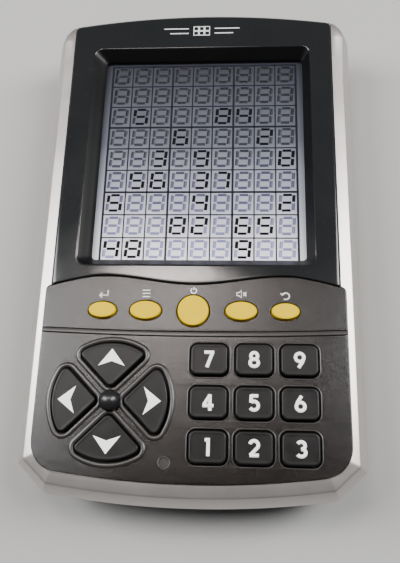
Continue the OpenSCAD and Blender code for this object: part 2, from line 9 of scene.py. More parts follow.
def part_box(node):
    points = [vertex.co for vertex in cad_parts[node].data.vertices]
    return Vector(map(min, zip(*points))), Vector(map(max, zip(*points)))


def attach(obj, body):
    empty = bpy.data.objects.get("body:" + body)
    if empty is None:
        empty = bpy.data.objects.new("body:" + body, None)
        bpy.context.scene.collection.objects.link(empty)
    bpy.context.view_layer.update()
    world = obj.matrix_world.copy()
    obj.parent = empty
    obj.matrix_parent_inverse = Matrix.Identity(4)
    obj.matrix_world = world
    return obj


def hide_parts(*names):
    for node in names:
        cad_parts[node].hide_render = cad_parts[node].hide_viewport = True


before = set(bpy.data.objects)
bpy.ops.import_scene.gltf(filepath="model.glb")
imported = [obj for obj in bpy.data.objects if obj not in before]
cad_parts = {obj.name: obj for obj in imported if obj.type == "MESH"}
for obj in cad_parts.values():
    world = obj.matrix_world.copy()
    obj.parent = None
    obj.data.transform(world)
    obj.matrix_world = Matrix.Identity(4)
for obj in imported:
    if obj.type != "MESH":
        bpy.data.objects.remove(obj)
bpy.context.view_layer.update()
scene = bpy.context.scene

# Lengths in this script are millimetres; meshes are scaled once, when they are made
unit = 0.001


def spot(node):
    # middle of a CAD node's box, in millimetres
    low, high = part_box(node)
    return (low + high) / 2 / unit


def limits(node):
    low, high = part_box(node)
    return low / unit, high / unit


camera = {
    "place": (13.91, -69.77, 198.31),
    "right": (0.997731, 0.026870, -0.061740),
    "up": (-0.007240, 0.954421, 0.298376),
    "back": (0.066943, -0.297252, 0.952449),
    "lens": 40.92,
}


def placeCamera(values):
    data = bpy.data.cameras.new("viewCamera")
    data.lens = values["lens"]
    data.sensor_width = 36
    data.clip_start = 0.01
    data.clip_end = 10
    eye = bpy.data.objects.new("viewCamera", data)
    axes = Matrix((values["right"], values["up"], values["back"])).transposed()
    eye.matrix_world = Matrix.Translation(Vector(values["place"]) * unit) @ axes.to_4x4()
    scene.collection.objects.link(eye)
    scene.camera = eye


placeCamera(camera)
print("camera placed")


class Wire:
    # one output socket of a node, with arithmetic that adds Math nodes
    def __init__(self, work, socket):
        self.work = work
        self.socket = socket

    def math(self, kind, other, flipped=False):
        pair = (other, self) if flipped else (self, other)
        return self.work.add("ShaderNodeMath", {"operation": kind}, {0: pair[0], 1: pair[1]})

    def __add__(self, other):
        return self.math("ADD", other)

    def __sub__(self, other):
        return self.math("SUBTRACT", other)

    def __rsub__(self, other):
        return self.math("SUBTRACT", other, True)

    def __mul__(self, other):
        return self.math("MULTIPLY", other)

    __radd__ = __add__
    __rmul__ = __mul__

    def also(self, name):
        return Wire(self.work, self.socket.node.outputs[name])


class Work:
    # a node tree that is filled one node at a time
    def __init__(self, tree):
        self.tree = tree

    def add(self, kind, settings=None, sockets=None, out=0):
        node = self.tree.nodes.new(kind)
        for key, value in (settings or {}).items():
            if key == "stops":
                ramp = node.color_ramp
                while len(ramp.elements) < len(value):
                    ramp.elements.new(0.5)
                for element, (place, shade) in zip(ramp.elements, value):
                    element.position = place
                    element.color = shade if isinstance(shade, tuple) else (shade, shade, shade, 1)
            else:
                setattr(node, key, value)
        for key, value in (sockets or {}).items():
            if isinstance(value, Wire):
                self.tree.links.new(value.socket, node.inputs[key])
            else:
                node.inputs[key].default_value = value
        return Wire(self, node.outputs[out]) if node.outputs else node

    # shader helpers
    def place(self, stretch=(1, 1, 1)):
        here = self.add("ShaderNodeTexCoord", out=3)
        if stretch == (1, 1, 1):
            return here
        return self.add("ShaderNodeMapping", None, {"Vector": here, "Scale": stretch})

    def noise(self, size, detail=2.0, rough=0.5, stretch=(1, 1, 1)):
        # size is the width of a typical blotch in millimetres
        return self.add("ShaderNodeTexNoise", None, {
            "Vector": self.place(stretch), "Scale": 1 / (size * unit), "Detail": detail, "Roughness": rough,
        })

    def ramp(self, value, *stops):
        return self.add("ShaderNodeValToRGB", {"stops": stops}, {"Fac": value})

    def spread(self, value, low, high, newLow=0.0, newHigh=1.0):
        return self.add("ShaderNodeMapRange", None, {
            "Value": value, "From Min": low, "From Max": high, "To Min": newLow, "To Max": newHigh,
        })

    def blend(self, amount, first, second):
        return self.add("ShaderNodeMix", {"data_type": "RGBA"}, {0: amount, 6: first, 7: second}, out=2)

    def bump(self, height, depth, strength=1.0):
        # depth is in millimetres
        return self.add("ShaderNodeBump", None, {
            "Height": height, "Distance": depth * unit, "Strength": strength,
        })

    def surface(self, **values):
        names = {key.replace("_", " "): value for key, value in values.items()}
        skin = self.add("ShaderNodeBsdfPrincipled", None, names)
        self.add("ShaderNodeOutputMaterial", None, {"Surface": skin})


def newFinish(name):
    finish = bpy.data.materials.new(name)
    finish.use_nodes = True
    finish.node_tree.nodes.clear()
    return finish, Work(finish.node_tree)


def tone(r, g, b):
    return (r, g, b, 1)


def silverPaint():
    finish, work = newFinish("silverPaint")
    flake = work.noise(0.09, 1)
    cloud = work.noise(16, 3, 0.6)
    rub = work.noise(1.6, 5, 0.75, (1, 0.25, 1))
    scuff = work.ramp(rub, (0.66, 0.0), (0.8, 1.0))
    base = work.blend(cloud, tone(0.44, 0.412, 0.392), tone(0.53, 0.498, 0.475))
    base = work.blend(scuff * 0.35, base, tone(0.30, 0.28, 0.265))
    rough = work.spread(cloud, 0.3, 0.7, 0.34, 0.42) + scuff * 0.12
    work.surface(Base_Color=base, Metallic=0.85, Roughness=rough,
                 Normal=work.bump(flake, 0.006, 0.5), Coat_Weight=0.25, Coat_Roughness=0.2)
    return finish


def glossBlack(middle, halfWide, halfLong, below):
    # polished everywhere but on the recess walls, which lie inside a box: they are rougher, and carry painted
    # shade, a darker colour and a metallic share that dims their reflection
    finish, work = newFinish("glossBlack")
    here = work.add("ShaderNodeSeparateXYZ", None, {"Vector": work.place()})

    def inside(value, reach):
        size = work.add("ShaderNodeMath", {"operation": "ABSOLUTE"}, {0: value})
        return work.add("ShaderNodeMath", {"operation": "LESS_THAN"}, {0: size, 1: reach * unit})

    across, along = inside(here, halfWide), inside(here.also("Y") - middle * unit, halfLong)
    dullShadedWall = across * along * inside(here.also("Z"), below)
    haze = work.noise(22, 3, 0.6)
    lines = work.noise(0.5, 3, 0.7, (0.05, 1, 1))
    dust = work.ramp(work.noise(0.35, 1), (0.74, 0.0), (0.82, 1.0))
    swirl = work.ramp(lines, (0.62, 0.0), (0.75, 1.0))
    base = work.blend(haze, tone(0.008, 0.009, 0.0095), tone(0.012, 0.013, 0.0135))
    base = work.blend(dust * 0.25, base, tone(0.12, 0.12, 0.115))
    # painted shade on the recess walls: their colour is pulled darker and a metallic share cuts their
    # reflection, besides their real extra roughness
    base = work.blend(dullShadedWall * 0.8, base, tone(0.005, 0.005, 0.005))
    rough = work.spread(haze, 0.3, 0.7, 0.10, 0.17) + swirl * 0.05 + dust * 0.2 + dullShadedWall * 0.25
    work.surface(Base_Color=base, Metallic=dullShadedWall * 0.6, Roughness=rough, IOR=1.5,
                 Normal=work.bump(haze, 0.12, 0.4))
    return finish


def grainedBlack():
    finish, work = newFinish("grainedBlack")
    grain = work.noise(0.34, 2, 0.6)
    blotch = work.noise(9, 3)
    dust = work.ramp(work.noise(0.4, 2), (0.50, 0.0), (0.70, 1.0))
    base = work.blend(blotch, tone(0.0042, 0.0031, 0.0027), tone(0.0066, 0.0050, 0.0044))
    base = work.blend(dust * 0.16, base, tone(0.075, 0.058, 0.050))
    rough = work.spread(blotch, 0.3, 0.7, 0.18, 0.22) + dust * 0.03
    work.surface(Base_Color=base, Roughness=rough, IOR=1.52, Normal=work.bump(grain, 0.05, 1.0))
    return finish


def polishedStep():
    finish, work = newFinish("polishedStep")
    haze = work.noise(7, 3)
    wear = work.ramp(work.noise(0.8, 4, 0.7, (0.4, 1, 1)), (0.6, 0.0), (0.78, 1.0))
    # painted highlight: the base is lighter than the grained panel black, so the step strip and the beads
    # round the keys read as lit lines
    base = work.blend(haze, tone(0.016, 0.0145, 0.0135), tone(0.023, 0.0205, 0.019))
    base = work.blend(wear * 0.3, base, tone(0.10, 0.095, 0.09))
    work.surface(Base_Color=base, Roughness=work.spread(haze, 0.3, 0.7, 0.28, 0.34) + wear * 0.1, IOR=1.55,
                 Normal=work.bump(haze, 0.05, 0.4))
    return finish


def shellBlack():
    finish, work = newFinish("shellBlack")
    grain = work.noise(0.3, 3, 0.6)
    blotch = work.noise(14, 4, 0.6)
    scuff = work.ramp(work.noise(2.2, 5, 0.8, (1, 0.3, 1)), (0.68, 0.0), (0.8, 1.0))
    base = work.blend(blotch, tone(0.016, 0.016, 0.017), tone(0.026, 0.026, 0.026))
    base = work.blend(scuff * 0.3, base, tone(0.085, 0.083, 0.08))
    rough = work.spread(blotch, 0.3, 0.7, 0.52, 0.62)
    work.surface(Base_Color=base, Roughness=rough, Normal=work.bump(grain, 0.045, 0.8))
    return finish


def keyRubber():
    finish, work = newFinish("keyRubber")
    grain = work.noise(0.22, 2)
    blotch = work.noise(5, 3)
    polish = work.ramp(work.noise(3.2, 3), (0.45, 0.0), (0.7, 1.0))
    base = work.blend(blotch, tone(0.0032, 0.003, 0.0029), tone(0.0052, 0.0048, 0.0046))
    rough = work.spread(blotch, 0.3, 0.7, 0.36, 0.43) - polish * 0.06
    work.surface(Base_Color=base, Roughness=rough, IOR=1.32, Normal=work.bump(grain, 0.02, 0.6))
    return finish


def yellowPlastic():
    finish, work = newFinish("yellowPlastic")
    grain = work.noise(0.3, 2)
    blotch = work.noise(3.5, 3)
    grime = work.ramp(work.noise(0.9, 4, 0.7), (0.62, 0.0), (0.8, 1.0))
    base = work.blend(blotch, tone(0.60, 0.405, 0.0), tone(0.68, 0.46, 0.0))
    base = work.blend(grime * 0.25, base, tone(0.45, 0.30, 0.01))
    rough = work.spread(blotch, 0.3, 0.7, 0.44, 0.54)
    work.surface(Base_Color=base, Roughness=rough, IOR=1.12, Normal=work.bump(grain, 0.012, 0.6))
    return finish


def plainPlastic(name, dark, light, roughness, grainSize=0.3, metal=0.0):
    # moulded or sheet stuff that differs only in its shades and its gloss
    finish, work = newFinish(name)
    grain = work.noise(grainSize, 3, 0.6)
    blotch = work.noise(grainSize * 14, 3)
    base = work.blend(blotch, tone(*dark), tone(*light))
    rough = work.spread(blotch, 0.3, 0.7, roughness * 0.88, roughness * 1.12)
    work.surface(Base_Color=base, Metallic=metal, Roughness=rough, Normal=work.bump(grain, 0.02, 0.6))
    return finish


def clearWindow():
    finish, work = newFinish("clearWindow")
    smear = work.noise(9, 4, 0.65)
    work.surface(Base_Color=work.blend(smear, tone(0.010, 0.011, 0.013), tone(0.018, 0.019, 0.022)),
                 Roughness=work.spread(smear, 0.3, 0.7, 0.12, 0.2), IOR=1.45, Alpha=0.06,
                 Normal=work.bump(smear, 0.03, 0.3))
    return finish


def displayGlass(lowY, highY):
    finish, work = newFinish("displayGlass")
    here = work.place()
    split = work.add("ShaderNodeSeparateXYZ", None, {"Vector": here}, out=1)
    # painted light and shade: the glass runs from pale lavender at the bottom row to near black at the top,
    # standing in for its viewing-angle fall-off and the shadow under the top of the recess
    rise = work.spread(split, lowY * unit, highY * unit)
    cloud = work.noise(20, 2)
    fine = work.noise(0.16, 1)
    along = rise + (cloud - 0.5) * 0.12
    base = work.ramp(along, (0.0, tone(0.92, 0.92, 0.98)), (0.25, tone(0.40, 0.41, 0.49)),
                     (0.58, tone(0.096, 0.103, 0.130)), (1.0, tone(0.011, 0.013, 0.018)))
    base = work.blend(fine * 0.15, base, tone(0.2, 0.2, 0.25))
    work.surface(Base_Color=base, Roughness=work.spread(cloud, 0.3, 0.7, 0.3, 0.4),
                 Normal=work.bump(fine, 0.004, 0.5))
    return finish


def inkPrint(name, dark, light, roughness, wear, index=1.45):
    # printed ink or moulded-in lettering, a little worn through in places
    finish, work = newFinish(name)
    speck = work.noise(0.25, 4, 0.7)
    worn = work.ramp(speck, (0.60, 0.0), (0.72, 1.0))
    base = work.blend(worn * wear, tone(*light), tone(*dark))
    work.surface(Base_Color=base, Roughness=work.spread(speck, 0.3, 0.7, roughness * 0.9, roughness * 1.1),
                 IOR=index, Normal=work.bump(speck, 0.006, 0.5))
    return finish


def steelWire(name="steelWire", shade=(0.56, 0.55, 0.53)):
    finish, work = newFinish(name)
    draw = work.noise(0.2, 3, 0.6, (0.1, 1, 1))
    stain = work.noise(2.5, 4)
    base = work.blend(stain, tone(*[c * 0.8 for c in shade]), tone(*shade))
    work.surface(Base_Color=base, Metallic=1.0, Roughness=work.spread(draw, 0.3, 0.7, 0.22, 0.38),
                 Normal=work.bump(draw, 0.008, 0.5))
    return finish


def cellJacket():
    # a two-tone cell: a dark jacket with a copper-coloured band at its positive end
    finish, work = newFinish("cellJacket")
    kind = work.add("ShaderNodeAttribute", {"attribute_name": "jacketPart"}, None, out=2)
    cloud = work.noise(4, 3)
    scuff = work.ramp(work.noise(0.8, 5, 0.7, (0.3, 1, 1)), (0.66, 0.0), (0.8, 1.0))
    dark = work.blend(cloud, tone(0.014, 0.014, 0.016), tone(0.022, 0.022, 0.025))
    warm = work.blend(cloud, tone(0.48, 0.21, 0.075), tone(0.58, 0.27, 0.10))
    metal = work.blend(cloud, tone(0.56, 0.55, 0.53), tone(0.66, 0.65, 0.63))
    isWarm = work.add("ShaderNodeMath", {"operation": "GREATER_THAN"}, {0: kind, 1: 0.25})
    isMetal = work.add("ShaderNodeMath", {"operation": "GREATER_THAN"}, {0: kind, 1: 0.75})
    base = work.blend(isMetal, work.blend(isWarm, dark, warm), metal)
    base = work.blend(scuff * 0.25, base, tone(0.3, 0.29, 0.28))
    work.surface(Base_Color=base, Metallic=isWarm * 0.9, Roughness=work.spread(cloud, 0.3, 0.7, 0.26, 0.36),
                 Normal=work.bump(cloud, 0.01, 0.4))
    return finish


def boardLaminate():
    finish, work = newFinish("boardLaminate")
    weave = work.add("ShaderNodeTexVoronoi", None, {"Vector": work.place(), "Scale": 900.0})
    tracks = work.ramp(work.noise(3.0, 2, 0.5, (1, 0.25, 1)), (0.48, 0.0), (0.52, 1.0))
    base = work.blend(tracks, tone(0.012, 0.10, 0.045), tone(0.022, 0.16, 0.075))
    base = work.blend(weave * 0.12, base, tone(0.03, 0.2, 0.1))
    work.surface(Base_Color=base, Roughness=work.spread(weave, 0.0, 1.0, 0.32, 0.45),
                 Normal=work.bump(tracks, 0.03, 0.5))
    return finish


finishes = {
    "silver": silverPaint(),
    "gloss": glossBlack(spot("window_lens").y, 34.9, 37.4, 24.84),
    "grained": grainedBlack(),
    "polished": polishedStep(),
    "shell": shellBlack(),
    "rubber": keyRubber(),
    "yellow": yellowPlastic(),
    "window": clearWindow(),
    "foot": plainPlastic("footRubber", (0.012, 0.012, 0.012), (0.022, 0.022, 0.021), 0.75, 0.35),
    "plunger": plainPlastic("plungerGrey", (0.12, 0.12, 0.123), (0.17, 0.17, 0.173), 0.5, 0.2),
    "ball": plainPlastic("ballGloss", (0.008, 0.008, 0.009), (0.012, 0.012, 0.013), 0.3, 0.8),
    "holder": plainPlastic("holderWhite", (0.62, 0.62, 0.60), (0.72, 0.72, 0.70), 0.5, 0.3),
    "zebra": plainPlastic("zebraRubber", (0.30, 0.06, 0.05), (0.42, 0.09, 0.07), 0.6, 0.2),
    "chip": plainPlastic("chipResin", (0.006, 0.006, 0.006), (0.012, 0.012, 0.012), 0.35, 0.3),
    "sleeve": plainPlastic("partSleeve", (0.02, 0.04, 0.13), (0.03, 0.055, 0.18), 0.4, 0.3),
    "dome": plainPlastic("domeRubber", (0.16, 0.16, 0.165), (0.22, 0.22, 0.225), 0.62, 0.25),
    "brass": steelWire("piezoBrass", (0.62, 0.44, 0.16)),
    "wire": plainPlastic("wireSleeve", (0.35, 0.03, 0.02), (0.45, 0.04, 0.03), 0.45, 0.25),
    "steel": steelWire(),
    "jacket": cellJacket(),
    "board": boardLaminate(),
    "digit": inkPrint("digitInk", (0.45, 0.44, 0.43), (0.93, 0.93, 0.92), 0.5, 0.4),
    "icon": inkPrint("iconInk", (0.25, 0.245, 0.24), (0.78, 0.77, 0.75), 0.5, 0.6),
    "foil": inkPrint("foilInk", (0.2, 0.2, 0.2), (0.62, 0.62, 0.63), 0.3, 0.4),
    "segment": inkPrint("segmentInk", (0.004, 0.005, 0.010), (0.002, 0.002, 0.004), 0.5, 0.4, 1.15),
    "gridInk": inkPrint("gridInk", (0.016, 0.018, 0.028), (0.010, 0.011, 0.018), 0.5, 0.4, 1.2),
}
print("finishes made:", len(finishes))


def newPiece(name, parts, finish, smoothAngle=32):
    # one mesh from (points, faces) pairs, with its doubles merged and its faces turned outwards
    points, faces = [], []
    for somePoints, someFaces in parts:
        start = len(points)
        points.extend([(x * unit, y * unit, z * unit) for x, y, z in somePoints])
        faces.extend([[start + i for i in face] for face in someFaces])
    mesh = bpy.data.meshes.new(name)
    mesh.from_pydata(points, [], faces)
    body = bmesh.new()
    body.from_mesh(mesh)
    bmesh.ops.remove_doubles(body, verts=body.verts, dist=2e-7)
    bmesh.ops.dissolve_degenerate(body, edges=body.edges, dist=1e-8)
    bmesh.ops.recalc_face_normals(body, faces=body.faces)
    body.to_mesh(mesh)
    body.free()
    piece = bpy.data.objects.new(name, mesh)
    scene.collection.objects.link(piece)
    mesh.materials.append(finish)
    softEdges(piece, smoothAngle)
    return piece


def softEdges(piece, angle):
    piece.data.shade_smooth()
    piece.data.set_sharp_from_angle(angle=math.radians(angle))


def evenNormals(piece):
    # large flat faces keep their own direction, and only the narrow rounds shade
    step = piece.modifiers.new("evenNormals", "WEIGHTED_NORMAL")
    step.keep_sharp = True
    step.weight = 80
    return bake(piece)


def bake(piece):
    # what the modifiers make becomes the piece's own mesh
    seen = piece.evaluated_get(bpy.context.evaluated_depsgraph_get())
    made = bpy.data.meshes.new_from_object(seen)
    if piece.type == "MESH":
        piece.modifiers.clear()
        piece.data = made
        return piece
    solid = bpy.data.objects.new(piece.name + "Mesh", made)
    scene.collection.objects.link(solid)
    name = piece.name
    bpy.data.objects.remove(piece)
    solid.name = name
    return solid


def carve(piece, tools, kind="DIFFERENCE"):
    for tool in tools:
        step = piece.modifiers.new("carve", "BOOLEAN")
        step.operation = kind
        step.solver = "EXACT"
        step.object = tool
    bake(piece)
    for tool in tools:
        bpy.data.objects.remove(tool)
    return piece


def loft(rings, loop=False, capStart=True, capEnd=True):
    # skins rings that have the same number of points
    count = len(rings[0])
    points = [p for ring in rings for p in ring]
    faces = []
    pairs = list(zip(range(len(rings) - 1), range(1, len(rings))))
    if loop:
        pairs.append((len(rings) - 1, 0))
    for a, b in pairs:
        for i in range(count):
            j = (i + 1) % count
            faces.append([a * count + i, a * count + j, b * count + j, b * count + i])
    if not loop:
        if capStart:
            faces.append(list(range(count))[::-1])
        if capEnd:
            faces.append([(len(rings) - 1) * count + i for i in range(count)])
    return points, faces


def atHeight(ring, z):
    return [(x, y, z) for x, y in ring]


def arc(cx, cy, r, start, end, steps):
    turns = [start + (end - start) * i / steps for i in range(steps + 1)]
    return [(cx + r * math.cos(a), cy + r * math.sin(a)) for a in turns]


def roundedBox(width, length, radius, cx=0.0, cy=0.0, steps=6, along=0):
    # corners rounded, and each straight side cut into along extra pieces
    x, y = width / 2 - radius, length / 2 - radius
    ring = []
    for k, (sx, sy) in enumerate([(1, 1), (-1, 1), (-1, -1), (1, -1)]):
        corner = arc(cx + sx * x, cy + sy * y, radius, k * math.pi / 2, (k + 1) * math.pi / 2, steps)
        if ring and along:
            last, first = ring[-1], corner[0]
            ring += [(last[0] + (first[0] - last[0]) * i / (along + 1),
                      last[1] + (first[1] - last[1]) * i / (along + 1)) for i in range(1, along + 1)]
        ring += corner
    if along:
        last, first = ring[-1], ring[0]
        ring += [(last[0] + (first[0] - last[0]) * i / (along + 1),
                  last[1] + (first[1] - last[1]) * i / (along + 1)) for i in range(1, along + 1)]
    return ring


def ellipse(width, height, steps=48):
    return [(width / 2 * math.cos(2 * math.pi * i / steps), height / 2 * math.sin(2 * math.pi * i / steps))
            for i in range(steps)]


def shifted(ring, dx, dy, turn=0.0):
    c, s = math.cos(math.radians(turn)), math.sin(math.radians(turn))
    return [(x * c - y * s + dx, x * s + y * c + dy) for x, y in ring]


def grown(ring, d):
    # a closed anticlockwise ring moved outwards by d, with the same number of points
    moved = []
    count = len(ring)
    for i in range(count):
        px, py = ring[i - 1]
        x, y = ring[i]
        nx, ny = ring[(i + 1) % count]
        ax, ay = x - px, y - py
        bx, by = nx - x, ny - y
        la, lb = math.hypot(ax, ay) or 1e-9, math.hypot(bx, by) or 1e-9
        mx, my = ay / la + by / lb, -ax / la - bx / lb
        size = math.hypot(mx, my) or 1e-9
        mx, my = mx / size, my / size
        cut = max(0.35, mx * ay / la - my * ax / la)
        moved.append((x + mx * d / cut, y + my * d / cut))
    return moved


def box(low, high):
    # a plain box, used only for cutting
    ring = [(low[0], low[1]), (high[0], low[1]), (high[0], high[1]), (low[0], high[1])]
    return loft([atHeight(ring, low[2]), atHeight(ring, high[2])])


def lathe(profile, centre, steps=40, axis="z"):
    # profile holds (radius, height) pairs; a radius of 0 closes the end
    rings = []
    for r, h in profile:
        ring = []
        for i in range(steps):
            a = 2 * math.pi * i / steps
            u, v = max(r, 1e-5) * math.cos(a), max(r, 1e-5) * math.sin(a)
            p = (u, v, h) if axis == "z" else (h, u, v)
            ring.append((p[0] + centre[0], p[1] + centre[1], p[2] + centre[2]))
        rings.append(ring)
    return loft(rings)


def plate(name, outlines, low, high, bevel, finish, smoothAngle=32):
    # a flat plate with holes: the first outline is its edge, the others are its openings
    curve = bpy.data.curves.new(name, "CURVE")
    curve.dimensions = "2D"
    curve.fill_mode = "BOTH"
    for ring in outlines:
        spline = curve.splines.new("POLY")
        spline.points.add(len(ring) - 1)
        for point, (x, y) in zip(spline.points, ring):
            point.co = (x * unit, y * unit, 0, 1)
        spline.use_cyclic_u = True
    curve.offset = -bevel * unit
    curve.bevel_depth = bevel * unit
    curve.bevel_resolution = 2
    curve.extrude = ((high - low) / 2 - bevel) * unit
    shape = bpy.data.objects.new(name, curve)
    scene.collection.objects.link(shape)
    solid = bake(shape)
    solid.data.transform(Matrix.Translation((0, 0, (low + high) / 2 * unit)))
    body = bmesh.new()
    body.from_mesh(solid.data)
    bmesh.ops.remove_doubles(body, verts=body.verts, dist=2e-7)
    bmesh.ops.recalc_face_normals(body, faces=body.faces)
    body.to_mesh(solid.data)
    body.free()
    solid.data.materials.clear()
    solid.data.materials.append(finish)
    softEdges(solid, smoothAngle)
    return solid


def joined(name, pieces):
    # several finished meshes of one finish become one piece
    body = bmesh.new()
    for piece in pieces:
        body.from_mesh(piece.data)
    mesh = bpy.data.meshes.new(name)
    body.to_mesh(mesh)
    body.free()
    mesh.materials.append(pieces[0].data.materials[0])
    whole = bpy.data.objects.new(name, mesh)
    scene.collection.objects.link(whole)
    for piece in pieces:
        bpy.data.objects.remove(piece)
    whole.name = name
    return whole


def settle(piece, body, nodes=()):
    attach(piece, body)
    for node in nodes:
        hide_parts(node)
    return piece


def newTree(name, inputs):
    # a geometry node group with named inputs; returns the group, its work and its input wires
    tree = bpy.data.node_groups.new(name, "GeometryNodeTree")
    tree.interface.new_socket("Geometry", in_out="INPUT", socket_type="NodeSocketGeometry")
    kinds = {float: "NodeSocketFloat", int: "NodeSocketInt", bpy.types.Material: "NodeSocketMaterial"}
    for label, kind in inputs:
        tree.interface.new_socket(label, in_out="INPUT", socket_type=kinds[kind])
    tree.interface.new_socket("Geometry", in_out="OUTPUT", socket_type="NodeSocketGeometry")
    work = Work(tree)
    given = work.add("NodeGroupInput")
    return tree, work, given


def closeTree(work, shape, finish):
    # every tree ends in real geometry with its finish on it
    real = work.add("GeometryNodeRealizeInstances", None, {0: shape})
    done = work.add("GeometryNodeSetMaterial", None, {"Geometry": real, "Material": finish})
    work.add("NodeGroupOutput", None, {0: done})


def grow(piece, tree, values):
    # puts the group on a piece, sets its inputs by identifier and keeps the mesh it makes
    step = piece.modifiers.new(tree.name, "NODES")
    step.node_group = tree
    for item in tree.interface.items_tree:
        if item.in_out == "INPUT" and item.name in values:
            step[item.identifier] = values[item.name]
    return bake(piece)


def strokeTree():
    # flat bands along curves, for print, display lines and segments
    tree, work, given = newTree("strokeTree", [
        ("Width", float), ("Thickness", float), ("Finish", bpy.types.Material)])
    band = work.add("GeometryNodeCurvePrimitiveQuadrilateral", {"mode": "RECTANGLE"}, {
        "Width": given.also("Width"), "Height": given.also("Thickness")})
    upright = work.add("GeometryNodeSetCurveNormal", {"mode": "Z_UP"}, {0: given})
    solid = work.add("GeometryNodeCurveToMesh", None, {
        "Curve": upright, "Profile Curve": band, "Fill Caps": True})
    closeTree(work, solid, given.also("Finish"))
    return tree


strokes = strokeTree()


def drawn(name, paths, width, thickness, z, finish):
    # paths are lists of (x, y), closed where the last point repeats the first
    curve = bpy.data.curves.new(name, "CURVE")
    curve.dimensions = "3D"
    for k, path in enumerate(paths):
        # crossing strokes lie a hair apart, so that none share a surface
        level = z + (k % 4) * 0.008
        ring = len(path) > 2 and math.dist(path[0], path[-1]) < 1e-6
        points = path[:-1] if ring else path
        spline = curve.splines.new("POLY")
        spline.points.add(len(points) - 1)
        for point, (x, y) in zip(spline.points, points):
            point.co = (x * unit, y * unit, level * unit, 1)
        spline.use_cyclic_u = ring
    shape = bpy.data.objects.new(name, curve)
    scene.collection.objects.link(shape)
    solid = grow(shape, strokes, {"Width": width * unit, "Thickness": thickness * unit, "Finish": finish})
    body = bmesh.new()
    body.from_mesh(solid.data)
    bmesh.ops.recalc_face_normals(body, faces=body.faces)
    body.to_mesh(solid.data)
    body.free()
    if not solid.data.materials:
        solid.data.materials.append(finish)
    return solid


case = {
    "halfWidth": 47.5, "halfLength": 77.0, "endRadius": 260.0, "cornerRadius": 8.0,
    "facetWide": 8.1, "facetHigh": 10.5, "facetRound": 1.0,
    "underside": 0.8, "widest": 18.5, "crest": 23.5, "face": 25.0,
    "underInset": 6.0, "crestInset": 2.8,
}


def caseRing(inset, endInset=None):
    # the outline set in by a distance, anticlockwise, always with the same number of points
    if endInset is not None:
        # the two top corners turn from the sides' inset to the top end's own
        sides, ends = caseRing(inset), caseRing(endInset)
        half = len(sides) // 2
        ring = []
        for i, (p, q) in enumerate(zip(sides, ends)):
            k = i if i <= half else len(sides) - i
            t = min(1.0, max(0.0, (k - 46) / 9))
            ring.append((p[0] + (q[0] - p[0]) * t, p[1] + (q[1] - p[1]) * t))
        return ring
    half = case["halfWidth"] - inset
    big = case["endRadius"] - inset
    lowY = case["endRadius"] - case["halfLength"]
    sx = case["halfWidth"] - case["facetWide"]
    sy = lowY - math.sqrt(case["endRadius"] ** 2 - sx ** 2)
    ex, ey = case["halfWidth"], case["facetHigh"] - case["halfLength"]
    size = math.hypot(ex - sx, ey - sy)
    ux, uy = (ex - sx) / size, (ey - sy) / size
    r = case["facetRound"]
    px, py = sx - uy * (inset + r), sy + ux * (inset + r)
    b = px * ux + (py - lowY) * uy
    c = px * px + (py - lowY) ** 2 - (big - r) ** 2
    t = -b - math.sqrt(b * b - c)
    ax, ay = px + t * ux, py + t * uy
    t = (half - r - px) / ux
    bx, by = half - r, py + t * uy
    corner = max(case["cornerRadius"] - inset, 0.6)
    cx = half - corner
    cy = -lowY + math.sqrt((big - corner) ** 2 - cx ** 2)
    start = math.atan2(ay - lowY, ax)
    normal = math.atan2(-ux, uy)
    right = arc(0, lowY, big, -math.pi / 2, start, 16)[:-1]
    right += arc(ax, ay, r, start, normal, 4)
    right += [(ax + r * uy + (bx - ax) * i / 4, ay - r * ux + (by - ay) * i / 4) for i in (1, 2, 3)]
    right += arc(bx, by, r, normal, 0, 4)
    right += [(half, by + (cy - by) * i / 20) for i in range(1, 20)]
    right += arc(cx, cy, corner, 0, math.atan2(cy + lowY, cx), 9)
    right += arc(0, -lowY, big, math.atan2(cy + lowY, cx), math.pi / 2, 16)[1:]
    left = [(-x, y) for x, y in right[-2:0:-1]]
    return right + left


def lowerInset(z):
    # quarter ellipse from the underside up to the widest line
    c = (case["widest"] - z) / (case["widest"] - case["underside"])
    return case["underInset"] * (1 - math.sqrt(max(0.0, 1 - c * c)))


def topInset(z):
    # at the top end the wall stands steeper and turns over in a tight round
    table = [(18.5, 0.0), (21.0, 0.25), (22.8, 0.65), (23.5, 1.0), (24.0, 1.45), (24.3, 2.1), (24.54, 3.2)]
    if z <= table[0][0]:
        return 0.0
    for (z0, d0), (z1, d1) in zip(table, table[1:]):
        if z <= z1:
            return d0 + (d1 - d0) * (z - z0) / (z1 - z0)
    return table[-1][1]


def edgeY(x):
    # top edge of the keypad panel: two humps with a valley between them
    row = rowY
    hump, valley, shoulder, humpX, shoulderX = row + 10.3, row + 7.8, row + 7.3, 26.7, 41.2
    x = abs(x)
    if x < humpX:
        return valley + (hump - valley) * math.sin(math.pi / 2 * x / humpX) ** 2
    return hump - (hump - shoulder) * ((min(x, shoulderX) - humpX) / (shoulderX - humpX)) ** 1.4


rowY = spot("button_power").y
stepY = rowY - 6.1
print("helpers ready")


frontShell = {"gap": 0.22, "bezelHalf": 41.2}


def panelRing(d=0.0):
    # edge of the keypad panel, anticlockwise, moved outwards by d
    half, radius, ends = 42.7, 8.5, 6.2
    cx = half - radius
    bow = cx * cx / (2 * case["endRadius"])
    cy = bow - case["halfLength"] + ends + radius
    ring = [(i / 12 * cx, (i / 12 * cx) ** 2 / (2 * case["endRadius"]) - case["halfLength"] + ends)
            for i in range(0, 13)]
    ring += arc(cx, cy, radius, math.radians(-82), 0, 10)
    shoulder = 1.3
    ring += [(half, rowY + 5.2)]
    ring += arc(half - shoulder, edgeY(half) - shoulder - 0.05, shoulder, 0, math.radians(72), 6)
    ring += [(i / 40 * 40.9, edgeY(i / 40 * 40.9)) for i in range(40, -1, -1)]
    ring += [(-x, y) for x, y in ring[-2:0:-1]]
    return grown(ring, d) if d else ring


